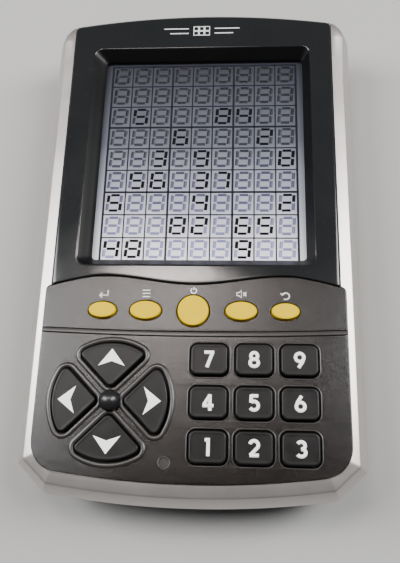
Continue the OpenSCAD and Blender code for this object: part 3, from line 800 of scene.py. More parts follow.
def buildFrontShell():
    section = [(lowerInset(z), z) for z in (11.02, 12.4, 13.9, 15.4, 17.0)] + [(0.0, case["widest"])]
    lift, drop = case["crest"] - case["widest"], case["crestInset"]
    section += [(drop * t ** 1.6, case["widest"] + lift * t)
                for t in (0.1, 0.22, 0.34, 0.46, 0.58, 0.7, 0.8, 0.88)]
    section += [(2.56, 23.26), (2.76, 23.45), (3.0, 23.56), (3.4, 23.69), (4.2, 23.95), (5.2, 24.25),
                (6.4, 24.54), (9.5, 24.54), (9.5, 22.6), (4.6, 21.4), (2.2, 18.5), (2.6, 12.2), (2.4, 11.02),
                (0.9, 10.98)]
    outer = section.index((6.4, 24.54))
    rings = [atHeight(caseRing(d, topInset(z) if k <= outer and z > case["widest"] else None), z)
             for k, (d, z) in enumerate(section)]
    shell = newPiece("frontShell", [loft(rings, loop=True)], finishes["silver"], 24)
    gap = frontShell["gap"]
    seat = newPiece("seatTool", [loft([atHeight(panelRing(gap), 22.7), atHeight(panelRing(gap), 27.0)])],
                    finishes["silver"])
    half = frontShell["bezelHalf"] + gap
    cut = box((-half, edgeY(half) - 0.4, 9.0), (half, 90, 27.0))
    opening = newPiece("openingTool", [cut], finishes["silver"])
    carve(shell, [seat, opening])
    softEdges(shell, 24)
    return settle(shell, "case", ["front_housing"])


buildFrontShell()
print("front shell made")


bezel = {
    "half": 41.2, "gap": 0.12, "recessWide": 68.8, "recessLong": 73.6, "recessRound": 2.6, "topCorner": 2.2,
    "floorWide": 63.2, "floorLong": 68.4, "floorRound": 1.0, "floorHeight": 21.42, "floorShift": 0.7,
    "rays": 720,
}


def rayRing(ring, angles, centre):
    # points where rays from a centre meet a ring that the centre sees all of; heights follow along
    table = sorted(((math.atan2(p[1] - centre[1], p[0] - centre[0]), *p) for p in ring), key=lambda q: q[0])
    first, last = table[0], table[-1]
    table = [(last[0] - 2 * math.pi, *last[1:])] + table + [(first[0] + 2 * math.pi, *first[1:])]
    turns = [q[0] for q in table]
    hits = []
    for a in angles:
        k = max(1, min(len(table) - 1, bisect_right(turns, a)))
        (_, x0, y0, z0), (_, x1, y1, z1) = table[k - 1], table[k]
        c, s = math.cos(a), math.sin(a)
        dx, dy = x1 - x0, y1 - y0
        t = ((x0 - centre[0]) * s - (y0 - centre[1]) * c) / ((dy * c - dx * s) or 1e-12)
        hits.append((x0 + dx * t, y0 + dy * t, z0 + (z1 - z0) * t))
    return hits


def bezelEdge(side, low, end):
    # the outer edge as (x, y, z) points; side, low and end are (inset, height) pairs
    half = bezel["half"] - side[0]
    xs = [half * math.sin(math.pi / 2 * i / 60) for i in range(-60, 61)]
    # the heights of the sides and of the lower edge meet near its two ends
    shares = [max(0.0, abs(x) / half * 40 - 39) for x in xs]
    ring = [(x, edgeY(x) + bezel["gap"] + low[0], low[1] + (side[1] - low[1]) * t)
            for x, t in zip(xs, shares)]
    start = ring[-1][1]
    big = case["endRadius"] - end[0]
    lowY = case["halfLength"] - case["endRadius"]
    corner = max(0.3, bezel["topCorner"] - max(side[0], end[0]) * 0.3 if end[1] > 22 else 0.3)
    cx = half - corner
    cy = lowY + math.sqrt((big - corner) ** 2 - cx ** 2)
    ring += [(half, start + (cy - start) * i / 12, side[1]) for i in range(1, 12)]
    turn = math.atan2(cy - lowY, cx)
    right = [(x, y, side[1] + (end[1] - side[1]) * i / 10)
             for i, (x, y) in enumerate(arc(cx, cy, corner, 0, turn, 10))]
    across = [(x, y, end[1]) for x, y in arc(0, lowY, big, turn, math.pi / 2, 40)[1:]]
    ring += right + across
    ring += [(-x, y, z) for x, y, z in across[-2::-1]] + [(-x, y, z) for x, y, z in right[::-1]]
    ring += [(-half, start + (cy - start) * i / 12, side[1]) for i in range(11, 0, -1)]
    return ring


def buildBezel():
    window = spot("window_lens")
    centre = (0.0, window.y)
    rays = bezel["rays"]
    angles = [-math.pi + 2 * math.pi * (i + 0.5) / rays for i in range(rays)]
    foot = [bezel[key] for key in ("floorWide", "floorLong", "floorRound", "floorHeight", "floorShift")]
    recess = [foot, (foot[0] + 0.2, foot[1] + 0.2, foot[2] + 0.1, 21.6, foot[4])]
    for t in (0.3, 0.6, 0.9):
        wide = foot[0] + (bezel["recessWide"] - foot[0]) * t
        long = foot[1] + (bezel["recessLong"] - foot[1]) * t
        corner = foot[2] + (bezel["recessRound"] - foot[2]) * t
        recess.append((wide, long, corner, foot[3] + 3.5 * t, foot[4] * (1 - t)))
    rim = (bezel["recessWide"], bezel["recessLong"], bezel["recessRound"])
    for more, z in ((-0.12, 24.82), (0.16, 24.95), (0.5, 24.99), (1.1, 24.995)):
        recess.append((rim[0] + more, rim[1] + more, rim[2] + more / 2, z, 0.0))
    rings = []
    for wide, long, corner, z, shift in recess:
        ring = roundedBox(wide, long, corner, centre[0] + shift, centre[1], steps=10)
        rings.append(rayRing(atHeight(ring, z), angles, centre))
    # (inset, height) at the sides, at the lower edge and at the top end
    edge = [
        ((1.2, 24.995), (0.9, 24.995), (4.4, 24.99)), ((0.74, 24.985), (0.4, 24.99), (3.5, 24.98)),
        ((0.46, 24.94), (0.22, 24.97), (2.8, 24.9)), ((0.25, 24.84), (0.1, 24.9), (2.1, 24.62)),
        ((0.1, 24.68), (0.02, 24.78), (1.6, 24.28)), ((0.02, 24.46), (0.0, 24.6), (1.1, 23.6)),
        ((0.0, 23.8), (0.0, 24.2), (0.7, 22.8)), ((0.0, 23.3), (0.0, 23.4), (0.3, 21.0)),
        ((0.0, 23.2), (0.0, 23.2), (0.0, 18.5)), ((0.0, 23.15), (0.0, 23.15), (0.05, 16.5)),
        ((0.0, 23.1), (0.0, 23.1), (0.26, 13.6)), ((0.0, 23.05), (0.0, 23.05), (0.58, 11.05)),
        ((1.2, 23.0), (0.9, 23.0), (2.3, 11.05)), ((2.2, 23.0), (1.6, 23.0), (2.4, 22.5)),
    ]
    rings += [rayRing(bezelEdge(*step), angles, centre) for step in edge]
    under = roundedBox(bezel["recessWide"] + 1.6, bezel["recessLong"] + 1.2, 3.0, *centre, steps=10)
    floor = roundedBox(foot[0] + 2.6, foot[1] + 1.6, 1.8, *centre, steps=10)
    rings += [rayRing(atHeight(ring, z), angles, centre) for ring, z in ((under, 22.6), (floor, foot[3]))]
    piece = newPiece("displayBezel", [loft(rings, loop=True)], finishes["gloss"], 30)
    return settle(piece, "case", ["display_bezel"])


buildBezel()


def buildWindow():
    low, high = limits("window_lens")
    middle = spot("window_lens")
    wide, long = high.x - low.x - 0.1, high.y - low.y - 0.1
    section = [(0.3, low.z), (0.0, low.z + 0.15)]
    section += [(0.0, high.z - 0.25), (0.12, high.z - 0.08), (0.35, high.z - 0.02)]
    rings = [atHeight(roundedBox(wide - 2 * d, long - 2 * d, 2.0, middle.x, middle.y, 5), z)
             for d, z in section]
    lens = newPiece("windowLens", [loft(rings)], finishes["window"])
    return settle(lens, "case", ["window_lens"])


buildWindow()
print("bezel and window made")


keypad = {
    "top": 25.0, "seat": 23.05, "stripTop": 24.5, "bevel": 0.22,
    "keyGap": 0.3, "keyWide": 10.0, "keyLong": 8.6, "keyRound": 1.8,
    "arrowRadius": 15.8, "arrowApex": 3.3, "arrowRound": 1.5,
    "rimIn": 0.42, "rimOut": 0.85, "rimHigh": 0.09, "ridgeIn": 0.36, "ridgeOut": 1.86, "ridgeHigh": 0.46,
    "stepWide": 1.15, "slot": 0.13,
}
padCentre = spot("nav_ball")
numberKeys = {n: spot("key_%d" % n) for n in range(1, 10)}
arrowTurns = {"key_up": 0, "key_left": 90, "key_down": 180, "key_right": 270}
buttonNames = ["button_enter", "button_mode", "button_power", "button_mute", "button_undo"]


def buttonSize(node):
    low, high = limits(node)
    return high.x - low.x - 1.6, high.y - low.y - 1.6


def petalRing(d=0.0, steps=20):
    # an arrow key's outline, pointing up from the pad's middle: an apex, two slanted sides and an arc
    r, apex = keypad["arrowRadius"], keypad["arrowApex"]
    soft = keypad["arrowRound"]
    # the sharp outline set in by the corner radius, then grown back with round corners
    lean = math.radians(45)
    apexIn = apex + soft / math.sin(lean)
    inner = r - soft
    turn = lean - math.asin(apexIn * math.sin(math.pi - lean) / inner)
    reach = soft + d
    corner = (inner * math.sin(turn), inner * math.cos(turn))
    ring = arc(0, apexIn, reach, math.radians(225), math.radians(315), 6)
    ring += arc(corner[0], corner[1], reach, math.radians(-45), math.pi / 2 - turn, 8)
    outer = arc(0, 0, inner + reach, math.pi / 2 - turn, math.pi / 2 + turn, steps)
    ring += outer[1:-1]
    ring += arc(-corner[0], corner[1], reach, math.pi / 2 + turn, math.radians(225), 8)
    return ring


def stepLine(x):
    return stepY - 1.2 * (1 - (x / 47.5) ** 2)


def ridge(ring, inner, outer, low, high, steps=5):
    # a half-round bead that follows a ring
    middle, half = (inner + outer) / 2, (outer - inner) / 2
    section = [(middle - half, low - 0.3)]
    turns = [math.pi * i / steps for i in range(steps + 1)]
    section += [(middle - half * math.cos(a), low + (high - low) * math.sin(a)) for a in turns]
    section += [(middle + half, low - 0.3)]
    return loft([atHeight(ring(d), z) for d, z in section], loop=True)


def fromNearest(ring, x, y):
    # the same ring, started at its point nearest to a place
    start = min(range(len(ring)), key=lambda i: abs(ring[i][0] - x) + abs(ring[i][1] - y))
    return ring[start:] + ring[:start]


def keyRing(place, d, steps=6, least=0.0):
    # a number key's outline, moved outwards by d
    corner = max(keypad["keyRound"] + d, least)
    return roundedBox(keypad["keyWide"] + 2 * d, keypad["keyLong"] + 2 * d, corner, place.x, place.y, steps)


def buildPanel():
    top, seat, bevel, gap = keypad["top"], keypad["seat"], keypad["bevel"], keypad["keyGap"]
    edge = panelRing()
    count = 60
    xs = [-42.7 + 85.4 * i / count for i in range(count + 1)]
    below = [(x, stepLine(x) - keypad["slot"]) for x in xs]
    above = [(x, stepLine(x) + keypad["stepWide"] + keypad["slot"]) for x in xs]
    lowerEdge = [p for p in edge if p[1] < stepLine(p[0]) - 0.6]
    lowerEdge = fromNearest(lowerEdge, -42.7, stepY)
    field = lowerEdge + below[::-1]
    upperEdge = [p for p in edge if p[1] > stepLine(p[0]) + keypad["stepWide"] + 0.5]
    upperEdge = fromNearest(upperEdge, 42.7, stepY)
    strip = upperEdge + above
    holes = [keyRing(p, gap) for p in numberKeys.values()]
    holes += [shifted(petalRing(gap), padCentre.x, padCentre.y, turn) for turn in arrowTurns.values()]
    reset = spot("reset_button")
    holes.append(shifted(ellipse(2.6, 2.6, 28), reset.x, reset.y))
    fieldPlate = plate("fieldPlate", [field] + holes, seat, top, bevel, finishes["grained"])
    ovals = []
    for node in buttonNames:
        wide, high = buttonSize(node)
        place = spot(node)
        ovals.append(shifted(ellipse(wide + 0.7, high + 0.7), place.x, place.y))
    stripPlate = plate("stripPlate", [strip] + ovals, seat, keypad["stripTop"], bevel, finishes["grained"])
    # the bevelled step between the strip and the key field
    wide = keypad["stepWide"]
    section = [(0.0, seat), (0.0, top - 0.14), (0.1, top - 0.04), (0.3, top - 0.03), (wide - 0.3, top - 0.12),
               (wide - 0.08, top - 0.16), (wide, top - 0.26), (wide, seat)]
    xs = [-42.55 + 85.1 * i / 60 for i in range(61)]
    rows = [[(x, stepLine(x) + d, z) for d, z in section] for x in xs]
    settle(newPiece("stepStrip", [loft(rows)], finishes["polished"], 20), "case")
    beads = [ridge(lambda d, p=p: keyRing(p, d), keypad["rimIn"], keypad["rimOut"],
                   top, top + keypad["rimHigh"]) for p in numberKeys.values()]
    beads += [ridge(lambda d, turn=turn: shifted(petalRing(d), padCentre.x, padCentre.y, turn),
                    keypad["ridgeIn"], keypad["ridgeOut"], top, top + keypad["ridgeHigh"], 7)
              for turn in arrowTurns.values()]
    beads.append(lathe([(1.35, top - 0.4), (1.35, top + 0.05), (1.45, top + 0.12), (1.62, top + 0.12),
                        (1.75, top + 0.02), (1.8, top - 0.2)], (reset.x, reset.y, 0), 36))
    settle(newPiece("panelBeads", beads, finishes["polished"], 60), "case")
    whole = joined("keypadPanel", [fieldPlate, stripPlate])
    softEdges(whole, 40)
    evenNormals(whole)
    return settle(whole, "case", ["keypad_panel"])


buildPanel()
print("keypad panel made")


keyCap = {"soft": 0.5, "arrowSoft": 0.46, "buttonSoft": 0.34, "flange": 0.8, "flangeThick": 1.0,
          "flangeTop": 22.85, "stemLow": 19.62, "stemHigh": 21.9, "stemRadius": 1.8,
          "digitHigh": 4.6, "digitWide": 3.3, "stroke": 0.92}


def capRings(ring, top, flangeTop, soft, dish=0.05):
    # flange, wall and a softly rounded top for a key whose outline is ring(offset)
    out = keyCap["flange"]
    low = flangeTop - keyCap["flangeThick"]
    section = [(-2.0, low), (out - 0.1, low), (out, low + 0.1), (out, flangeTop - 0.1)]
    section += [(out - 0.1, flangeTop), (0.0, flangeTop), (0.0, top - soft * 1.1)]
    section += [(-soft * (1 - math.cos(a)), top - soft * (1 - math.sin(a)))
                for a in (math.radians(20), math.radians(42), math.radians(62), math.radians(80))]
    section += [(-soft * 1.25, top), (-soft * 1.9, top - dish * 0.6), (-soft * 2.6, top - dish)]
    return [atHeight(ring(d), z) for d, z in section]


def stem(place):
    low, high, r = keyCap["stemLow"], keyCap["stemHigh"], keyCap["stemRadius"]
    return lathe([(r - 0.2, low), (r, low + 0.2), (r, high)], (place.x, place.y, 0), 24)


def bowl(cx, cy, rx, ry, start, end, steps=14):
    return [(cx + rx * math.cos(math.radians(start + (end - start) * i / steps)),
             cy + ry * math.sin(math.radians(start + (end - start) * i / steps))) for i in range(steps + 1)]


def digitPaths(n):
    # strokes in a cell that is 1 wide and 1 high, centred on 0
    return {
        0: [bowl(0, 0, 0.5, 0.5, 0, 360, 28)],
        1: [[(0.1, -0.62), (0.1, 0.62)], [(-0.28, 0.49), (0.1, 0.49)]],
        2: [bowl(0, 0.2, 0.46, 0.3, 165, -30) + [(-0.42, -0.5)], [(-0.5, -0.5), (0.52, -0.5)]],
        3: [bowl(-0.02, 0.24, 0.42, 0.26, 150, -90), bowl(-0.02, -0.24, 0.48, 0.26, 90, -150)],
        4: [[(0.2, -0.62), (0.2, 0.55)], [(0.22, 0.52), (-0.48, -0.2)], [(-0.62, -0.26), (0.6, -0.26)]],
        5: [[(0.45, 0.5), (-0.34, 0.5)], [(-0.3, 0.58), (-0.36, 0.02)],
            bowl(-0.02, -0.2, 0.48, 0.31, 130, -150)],
        6: [bowl(0, -0.2, 0.47, 0.3, 0, 360, 24), [(-0.44, -0.12), (-0.3, 0.14), (0.14, 0.56)]],
        7: [[(-0.56, 0.49), (0.56, 0.49)], [(0.4, 0.5), (-0.24, -0.62)]],
        8: [bowl(0, 0.26, 0.38, 0.25, 0, 360, 24), bowl(0, -0.24, 0.47, 0.27, 0, 360, 24)],
        9: [bowl(0, 0.2, 0.47, 0.3, 0, 360, 24), [(0.44, 0.12), (0.3, -0.14), (-0.14, -0.56)]],
    }[n]


def placed(paths, cx, cy, sx, sy, turn=0.0, slant=0.0):
    c, s = math.cos(math.radians(turn)), math.sin(math.radians(turn))
    moved = []
    for path in paths:
        line = []
        for x, y in path:
            u, v = x * sx + y * sy * slant, y * sy
            line.append((u * c - v * s + cx, u * s + v * c + cy))
        moved.append(line)
    return moved


def buildNumberKeys():
    for n, place in numberKeys.items():
        node = "key_%d" % n
        top = limits(node)[1].z - 0.02
        ring = lambda d, p=place: keyRing(p, d, 7, 0.3)
        rings = capRings(ring, top, keyCap["flangeTop"], keyCap["soft"])
        cap = newPiece("numberKey%d" % n, [loft(rings), stem(place)], finishes["rubber"], 40)
        evenNormals(cap)
        settle(cap, node, [node])
        paths = placed(digitPaths(n), place.x, place.y, keyCap["digitWide"] - keyCap["stroke"],
                       keyCap["digitHigh"] - keyCap["stroke"])
        digit = drawn("digit%d" % n, paths, keyCap["stroke"], 0.1, top - 0.05, finishes["digit"])
        settle(digit, node)


def arrowHead():
    # a notched arrowhead that points up
    tip, base, half, notch = 14.05, 9.3, 3.7, 10.6
    return [(0, tip), (-half, base), (0, notch), (half, base)]


def buildArrowKeys():
    for node, turn in arrowTurns.items():
        top = limits(node)[1].z - 0.02
        ring = lambda d, turn=turn: shifted(petalRing(d), padCentre.x, padCentre.y, turn)
        rings = capRings(ring, top, keyCap["flangeTop"], keyCap["arrowSoft"])
        seat = shifted([(0, 10)], padCentre.x, padCentre.y, turn)[0]
        parts = [loft(rings), stem(Vector((seat[0], seat[1], 0)))]
        cap = newPiece("arrowKey" + node[4:].title(), parts, finishes["rubber"], 40)
        evenNormals(cap)
        settle(cap, node, [node])
        head = shifted(arrowHead(), padCentre.x, padCentre.y, turn)
        solid = loft([atHeight(head, top - 0.25), atHeight(head, top)])
        mark = newPiece("arrowMark" + node[4:].title(), [solid], finishes["digit"])
        settle(mark, node)


def buildButtons():
    for node in buttonNames:
        top = limits(node)[1].z - 0.02
        place = spot(node)
        wide, long = buttonSize(node)
        ring = lambda d, p=place, w=wide, l=long: shifted(ellipse(w + 2 * d, l + 2 * d), p.x, p.y)
        rings = capRings(ring, top, keyCap["flangeTop"], keyCap["buttonSoft"], 0.02)
        parts = [loft(rings), stem(place)]
        cap = newPiece("yellowButton" + node[7:].title(), parts, finishes["yellow"], 40)
        evenNormals(cap)
        settle(cap, node, [node])


def buildBall():
    low, high = limits("nav_ball")
    r = (high.x - low.x) / 2
    centre = high.z - r
    profile = [(1.35, low.z + 0.05), (1.35, 25.02), (2.6, 25.02), (2.75, 25.1), (2.72, 25.2)]
    start = math.asin((25.25 - centre) / r)
    profile += [(r * math.cos(a), centre + r * math.sin(a))
                for a in [start + (math.pi / 2 - start) * i / 18 for i in range(19)]]
    ball = newPiece("navBall", [lathe(profile, (padCentre.x, padCentre.y, 0), 48)], finishes["ball"], 50)
    settle(ball, "case", ["nav_ball"])


def buildReset():
    low, high = limits("reset_button")
    place = spot("reset_button")
    profile = [(1.7, low.z + 0.02), (1.78, low.z + 0.1), (1.78, low.z + 0.9), (1.7, low.z + 0.98)]
    profile += [(1.0, low.z + 1.0), (1.0, high.z - 0.3), (0.92, high.z - 0.12), (0.7, high.z - 0.03)]
    profile += [(0.4, high.z - 0.06), (0.0, high.z - 0.1)]
    pin = newPiece("resetPlunger", [lathe(profile, (place.x, place.y, 0), 32)], finishes["plunger"], 40)
    settle(pin, "reset_button", ["reset_button"])


buildNumberKeys()
buildArrowKeys()
buildButtons()
buildBall()
buildReset()
print("keys and buttons made")


display = {
    "halfGrid": 29.6, "shift": 0.65, "bottomRow": 16.2, "topRow": 83.7, "thin": 0.40, "thick": 0.66,
    "digitWide": 0.60, "digitHigh": 0.68, "digitLift": 0.2, "upright": 0.98, "level": 0.8, "slant": 0.085,
    "levelIn": 0.66, "uprightIn": 0.06, "waist": 0.24,
    # row, counted from the top: {column: digit}
    "shown": {8: {0: 4, 1: 8, 6: 9}, 7: {3: 8, 4: 2, 6: 6, 7: 5}, 6: {0: 5, 4: 4, 8: 2},
              5: {1: 5, 2: 6, 4: 3, 5: 7}, 4: {2: 3, 4: 9, 8: 8}, 3: {3: 6, 7: 2}, 2: {1: 5, 5: 8, 6: 4}},
}


def segmentPaths(which, cx, cy, wide, high, slant):
    # the seven bars: top, upper right, lower right, bottom, lower left, upper left, middle
    w, h = wide / 2, high / 2
    side, end, waist = w - display["levelIn"], h - display["uprightIn"], display["waist"]
    bars = [
        [(-side, h), (side, h)], [(w, end), (w, waist)], [(w, -waist), (w, -end)], [(-side, -h), (side, -h)],
        [(-w, -waist), (-w, -end)], [(-w, end), (-w, waist)], [(-side, 0), (side, 0)],
    ]
    return [[(x + y * slant + cx, y + cy) for x, y in bars[k]] for k in which]


litBars = ["012345", "12", "01346", "01236", "1256", "02356", "023456", "012", "0123456", "012356"]


def buildDisplay():
    low, high = limits("lcd_panel")
    middle = spot("lcd_panel")
    bottom, top, half = rowY + display["bottomRow"], rowY + display["topRow"], display["halfGrid"]
    finish = displayGlass(bottom, top)
    width, length = high.x - low.x - 0.1, high.y - low.y - 0.1
    section = [(0.15, low.z + 0.02), (0.0, low.z + 0.15), (0.0, high.z - 0.2), (0.15, high.z - 0.05)]
    rings = [atHeight(roundedBox(width - 2 * d, length - 2 * d, 0.6, 0, middle.y, 3), z) for d, z in section]
    glass = newPiece("displayGlass", [loft(rings)], finish)
    settle(glass, "case", ["lcd_panel"])
    z = high.z - 0.04
    shift = display["shift"]
    wide, tall = 2 * half / 9, (top - bottom) / 9
    thin, thick = [], []
    for i in range(10):
        x = shift - half + i * wide
        (thick if i % 3 == 0 else thin).append([(x, bottom), (x, top + 0.2)])
        if i:
            y = bottom + i * tall
            (thick if i % 3 == 0 else thin).append([(shift - half, y), (shift + half, y)])
    settle(drawn("gridThin", thin, display["thin"], 0.03, z, finishes["gridInk"]), "case")
    settle(drawn("gridThick", thick, display["thick"], 0.03, z, finishes["gridInk"]), "case")
    ghost, lit = [], []
    for row in range(9):
        for column in range(9):
            cx, cy = shift - half + (column + 0.5) * wide, top - (row + 0.5) * tall + display["digitLift"]
            digit = display["shown"].get(row, {}).get(column)
            on = [int(k) for k in litBars[digit]] if digit is not None else []
            off = [k for k in range(7) if k not in on]
            size = (cx, cy, wide * display["digitWide"], tall * display["digitHigh"], display["slant"])
            lit += segmentPaths(on, *size)
            ghost += segmentPaths(off, *size)
    faint = ghostInk(bottom, top)
    for name, bars, high, ink in (("Lit", lit, 0.03, finishes["segment"]), ("Rest", ghost, 0.02, faint)):
        level = [bar for bar in bars if abs(bar[0][1] - bar[1][1]) < 1e-6]
        upright = [bar for bar in bars if bar not in level]
        settle(drawn("levelBars" + name, level, display["level"], high, z, ink), "case")
        settle(drawn("uprightBars" + name, upright, display["upright"], high, z, ink), "case")


def ghostInk(lowY, highY):
    # unlit bars show as a faint tint of the glass behind them, with the same painted shade: pale at the
    # bottom row, near black at the top
    finish, work = newFinish("ghostInk")
    along = work.add("ShaderNodeSeparateXYZ", None, {"Vector": work.place()}, out=1)
    rise = work.spread(along, lowY * unit, highY * unit)
    cloud = work.noise(14, 2)
    base = work.ramp(rise + (cloud - 0.5) * 0.1,
                     (0.0, tone(0.27, 0.27, 0.52)), (0.25, tone(0.085, 0.085, 0.165)),
                     (0.52, tone(0.017, 0.019, 0.032)), (1.0, tone(0.0015, 0.002, 0.003)))
    work.surface(Base_Color=base, Roughness=work.spread(cloud, 0.3, 0.7, 0.3, 0.4))
    return finish


buildDisplay()
print("display made")


marks = {"stroke": 0.32, "rise": 2.4, "size": 1.35, "closeRise": 1.65, "closeSize": 1.0}


def iconPaths(node):
    # plain signs in a cell from -1 to 1
    if node == "button_enter":
        return [[(0.9, 0.9), (0.9, -0.2), (-0.8, -0.2)], [(-0.3, 0.35), (-0.85, -0.2), (-0.3, -0.75)]]
    if node == "button_mode":
        return [[(-0.8, y), (0.8, y)] for y in (0.7, 0.0, -0.7)]
    if node == "button_power":
        return [bowl(0, -0.1, 0.8, 0.8, 125, 415, 20), [(0, 0.95), (0, 0.1)]]
    if node == "button_mute":
        horn = [(-0.95, 0.3), (-0.55, 0.3), (0.0, 0.8), (0.0, -0.8), (-0.55, -0.3), (-0.95, -0.3)]
        horn.append(horn[0])
        return [horn, [(0.4, 0.4), (1.0, -0.4)], [(0.4, -0.4), (1.0, 0.4)]]
    return [bowl(0.1, -0.1, 0.75, 0.7, 150, -120, 18), [(-0.95, 0.55), (-0.6, 0.1), (-0.15, 0.5)]]


def buildMarks():
    paths = []
    for node in buttonNames:
        place = spot(node)
        long = buttonSize(node)[1]
        close = node == "button_power"
        rise = long / 2 + (marks["closeRise"] if close else marks["rise"])
        size = marks["closeSize"] if close else marks["size"]
        paths += placed(iconPaths(node), place.x, place.y + rise, size, size)
    icons = drawn("buttonSigns", paths, marks["stroke"], 0.06, keypad["stripTop"] + 0.01, finishes["icon"])
    settle(icons, "case")
    # a plain ornament at the top end: a small grid of squares between two pairs of bars
    y = rowY + 93.6
    lines = []
    for column in range(3):
        for row in range(2):
            x0, y0 = -2.55 + column * 1.8, y - 1.65 + row * 1.8
            lines.append([(x0, y0), (x0 + 1.5, y0), (x0 + 1.5, y0 + 1.5), (x0, y0 + 1.5), (x0, y0)])
    for side in (-1, 1):
        lines.append([(side * 4.2, y + 0.9), (side * 12.2, y + 0.9)])
        lines.append([(side * 4.2, y - 0.9), (side * 10.2, y - 0.9)])
    ornament = drawn("topOrnament", lines, 0.36, 0.05, case["face"] - 0.03, finishes["foil"])
    settle(ornament, "case")


buildMarks()
print("marks made")


rear = {"doorHalf": 26.0, "doorTop": 2.8, "doorEnd": -42.9, "gap": 0.2, "soundRing": 4.5, "soundHole": 0.9,
        "soundY": 38.2, "ribs": 6, "ribPitch": 1.6}
wellPlaces = [(37.5, -64.5), (39.8, -20.0), (40.6, 66.3)]
footPlaces = [(34.5, -52.0), (34.5, 55.0)]


def lowerRings(top):
    under = case["underside"]
    heights = [under + 0.02, under + 0.1, under + 0.35, 1.7, 2.5, 3.6, 5.0, 6.8, 8.8, 10.3]
    rings = [atHeight(caseRing(lowerInset(under) + 0.25), under)]
    rings += [atHeight(caseRing(lowerInset(z)), z) for z in heights]
    rings.append(atHeight(caseRing(lowerInset(10.8)), 10.8))
    return rings + [atHeight(caseRing(0.85), 10.93), atHeight(caseRing(1.4), top)]


def holeTree():
    # round drills set on a ring, with one in the middle
    tree, work, given = newTree("holeTree", [
        ("Ring Radius", float), ("Hole Radius", float), ("Depth", float), ("Count", int),
        ("Finish", bpy.types.Material)])
    ring = work.add("GeometryNodeMeshCircle", None, {"Vertices": given.also("Count"),
                                                     "Radius": given.also("Ring Radius")})
    single = work.add("GeometryNodeMeshCircle", None, {"Vertices": 3, "Radius": 0.0})
    dot = work.add("GeometryNodeMergeByDistance", None, {"Geometry": single, "Distance": 0.0001})
    seats = work.add("GeometryNodeJoinGeometry", None, {"Geometry": ring})
    work.tree.links.new(dot.socket, seats.socket.node.inputs["Geometry"])
    drill = work.add("GeometryNodeMeshCylinder", None, {"Vertices": 24, "Radius": given.also("Hole Radius"),
                                                        "Depth": given.also("Depth")})
    holes = work.add("GeometryNodeInstanceOnPoints", None, {"Points": seats, "Instance": drill})
    closeTree(work, holes, given.also("Finish"))
    return tree


def rowTree():
    # equal boxes in a row along Y
    tree, work, given = newTree("rowTree", [
        ("Count", int), ("Pitch", float), ("Wide", float), ("Long", float), ("High", float),
        ("Finish", bpy.types.Material)])
    step = work.add("ShaderNodeCombineXYZ", None, {"Y": given.also("Pitch")})
    line = work.add("GeometryNodeMeshLine", {"mode": "OFFSET"}, {
        "Count": given.also("Count"), "Offset": step})
    size = work.add("ShaderNodeCombineXYZ", None, {"X": given.also("Wide"), "Y": given.also("Long"),
                                                   "Z": given.also("High")})
    bar = work.add("GeometryNodeMeshCube", None, {"Size": size})
    bars = work.add("GeometryNodeInstanceOnPoints", None, {"Points": line, "Instance": bar})
    closeTree(work, bars, given.also("Finish"))
    return tree


def grownAt(name, tree, values, place):
    mesh = bpy.data.meshes.new(name)
    holder = bpy.data.objects.new(name, mesh)
    scene.collection.objects.link(holder)
    grow(holder, tree, values)
    holder.data.transform(Matrix.Translation(Vector(place) * unit))
    return holder


def buildRear():
    shell = newPiece("rearShell", [loft(lowerRings(11.0))], finishes["shell"], 24)
    gap = rear["gap"]
    half, end = rear["doorHalf"], rear["doorEnd"]
    low, high = limits("batteries")
    bay = (low.y + high.y) / 2
    tools = [
        newPiece("doorTool", [box((-half - gap, -90, -1), (half + gap, end + gap, rear["doorTop"] - 1.0))],
                 finishes["shell"]),
        newPiece("grooveTool", [box((-half - 1.4, -90, rear["doorTop"] - 1.2), (half + 1.4, end + gap,
                                                                               rear["doorTop"] + gap))],
                 finishes["shell"]),
        newPiece("bayTool", [box((-24.85, bay - 10.85, 0), (24.85, bay + 10.85, 10.9))], finishes["shell"]),
    ]
    for x, y in wellPlaces:
        for side in (-1, 1):
            well = lathe([(3.35, -1), (3.35, 0.95), (2.95, 1.4), (2.9, 5.8), (1.5, 5.8), (1.5, 9.0)],
                         (side * x, y, 0), 36)
            tools.append(newPiece("wellTool", [well], finishes["shell"]))
    for x, y in footPlaces:
        for side in (-1, 1):
            pad = lathe([(4.05, -1), (4.05, 1.65)], (side * x, y, 0), 40)
            tools.append(newPiece("padTool", [pad], finishes["shell"]))
    drills = grownAt("soundTool", holeTree(), {
        "Ring Radius": rear["soundRing"] * unit, "Hole Radius": rear["soundHole"] * unit, "Depth": 4 * unit,
        "Count": 6, "Finish": finishes["shell"]}, (0, rear["soundY"], 1.2))
    tools.append(drills)
    carve(shell, tools)
    softEdges(shell, 24)
    settle(shell, "case", ["rear_housing"])


def buildDoor():
    door = newPiece("batteryDoor", [loft(lowerRings(11.0))], finishes["shell"], 24)
    half, end, top = rear["doorHalf"], rear["doorEnd"], rear["doorTop"]
    lid = newPiece("lidTool", [box((-half, -90, 0), (half, end, top - 0.02))], finishes["shell"])
    carve(door, [lid], "INTERSECT")
    low, high = limits("batteries")
    bay = (low.y + high.y) / 2
    grooves = grownAt("ribTool", rowTree(), {
        "Count": rear["ribs"], "Pitch": rear["ribPitch"] * unit, "Wide": 16 * unit, "Long": 0.8 * unit,
        "High": 1.4 * unit, "Finish": finishes["shell"]}, (0, bay + 1.4, 0.5))
    carve(door, [grooves])
    softEdges(door, 24)
    settle(door, "battery_door", ["battery_door"])
    tongues = []
    for side in (-1, 1):
        ring = roundedBox(1.1, 22.0, 0.3, side * (half + 0.55), end - 15.0, 3)
        tongues.append(loft([atHeight(ring, top - 0.95), atHeight(ring, top - 0.05)]))
    settle(newPiece("doorTongues", tongues, finishes["shell"]), "battery_door")


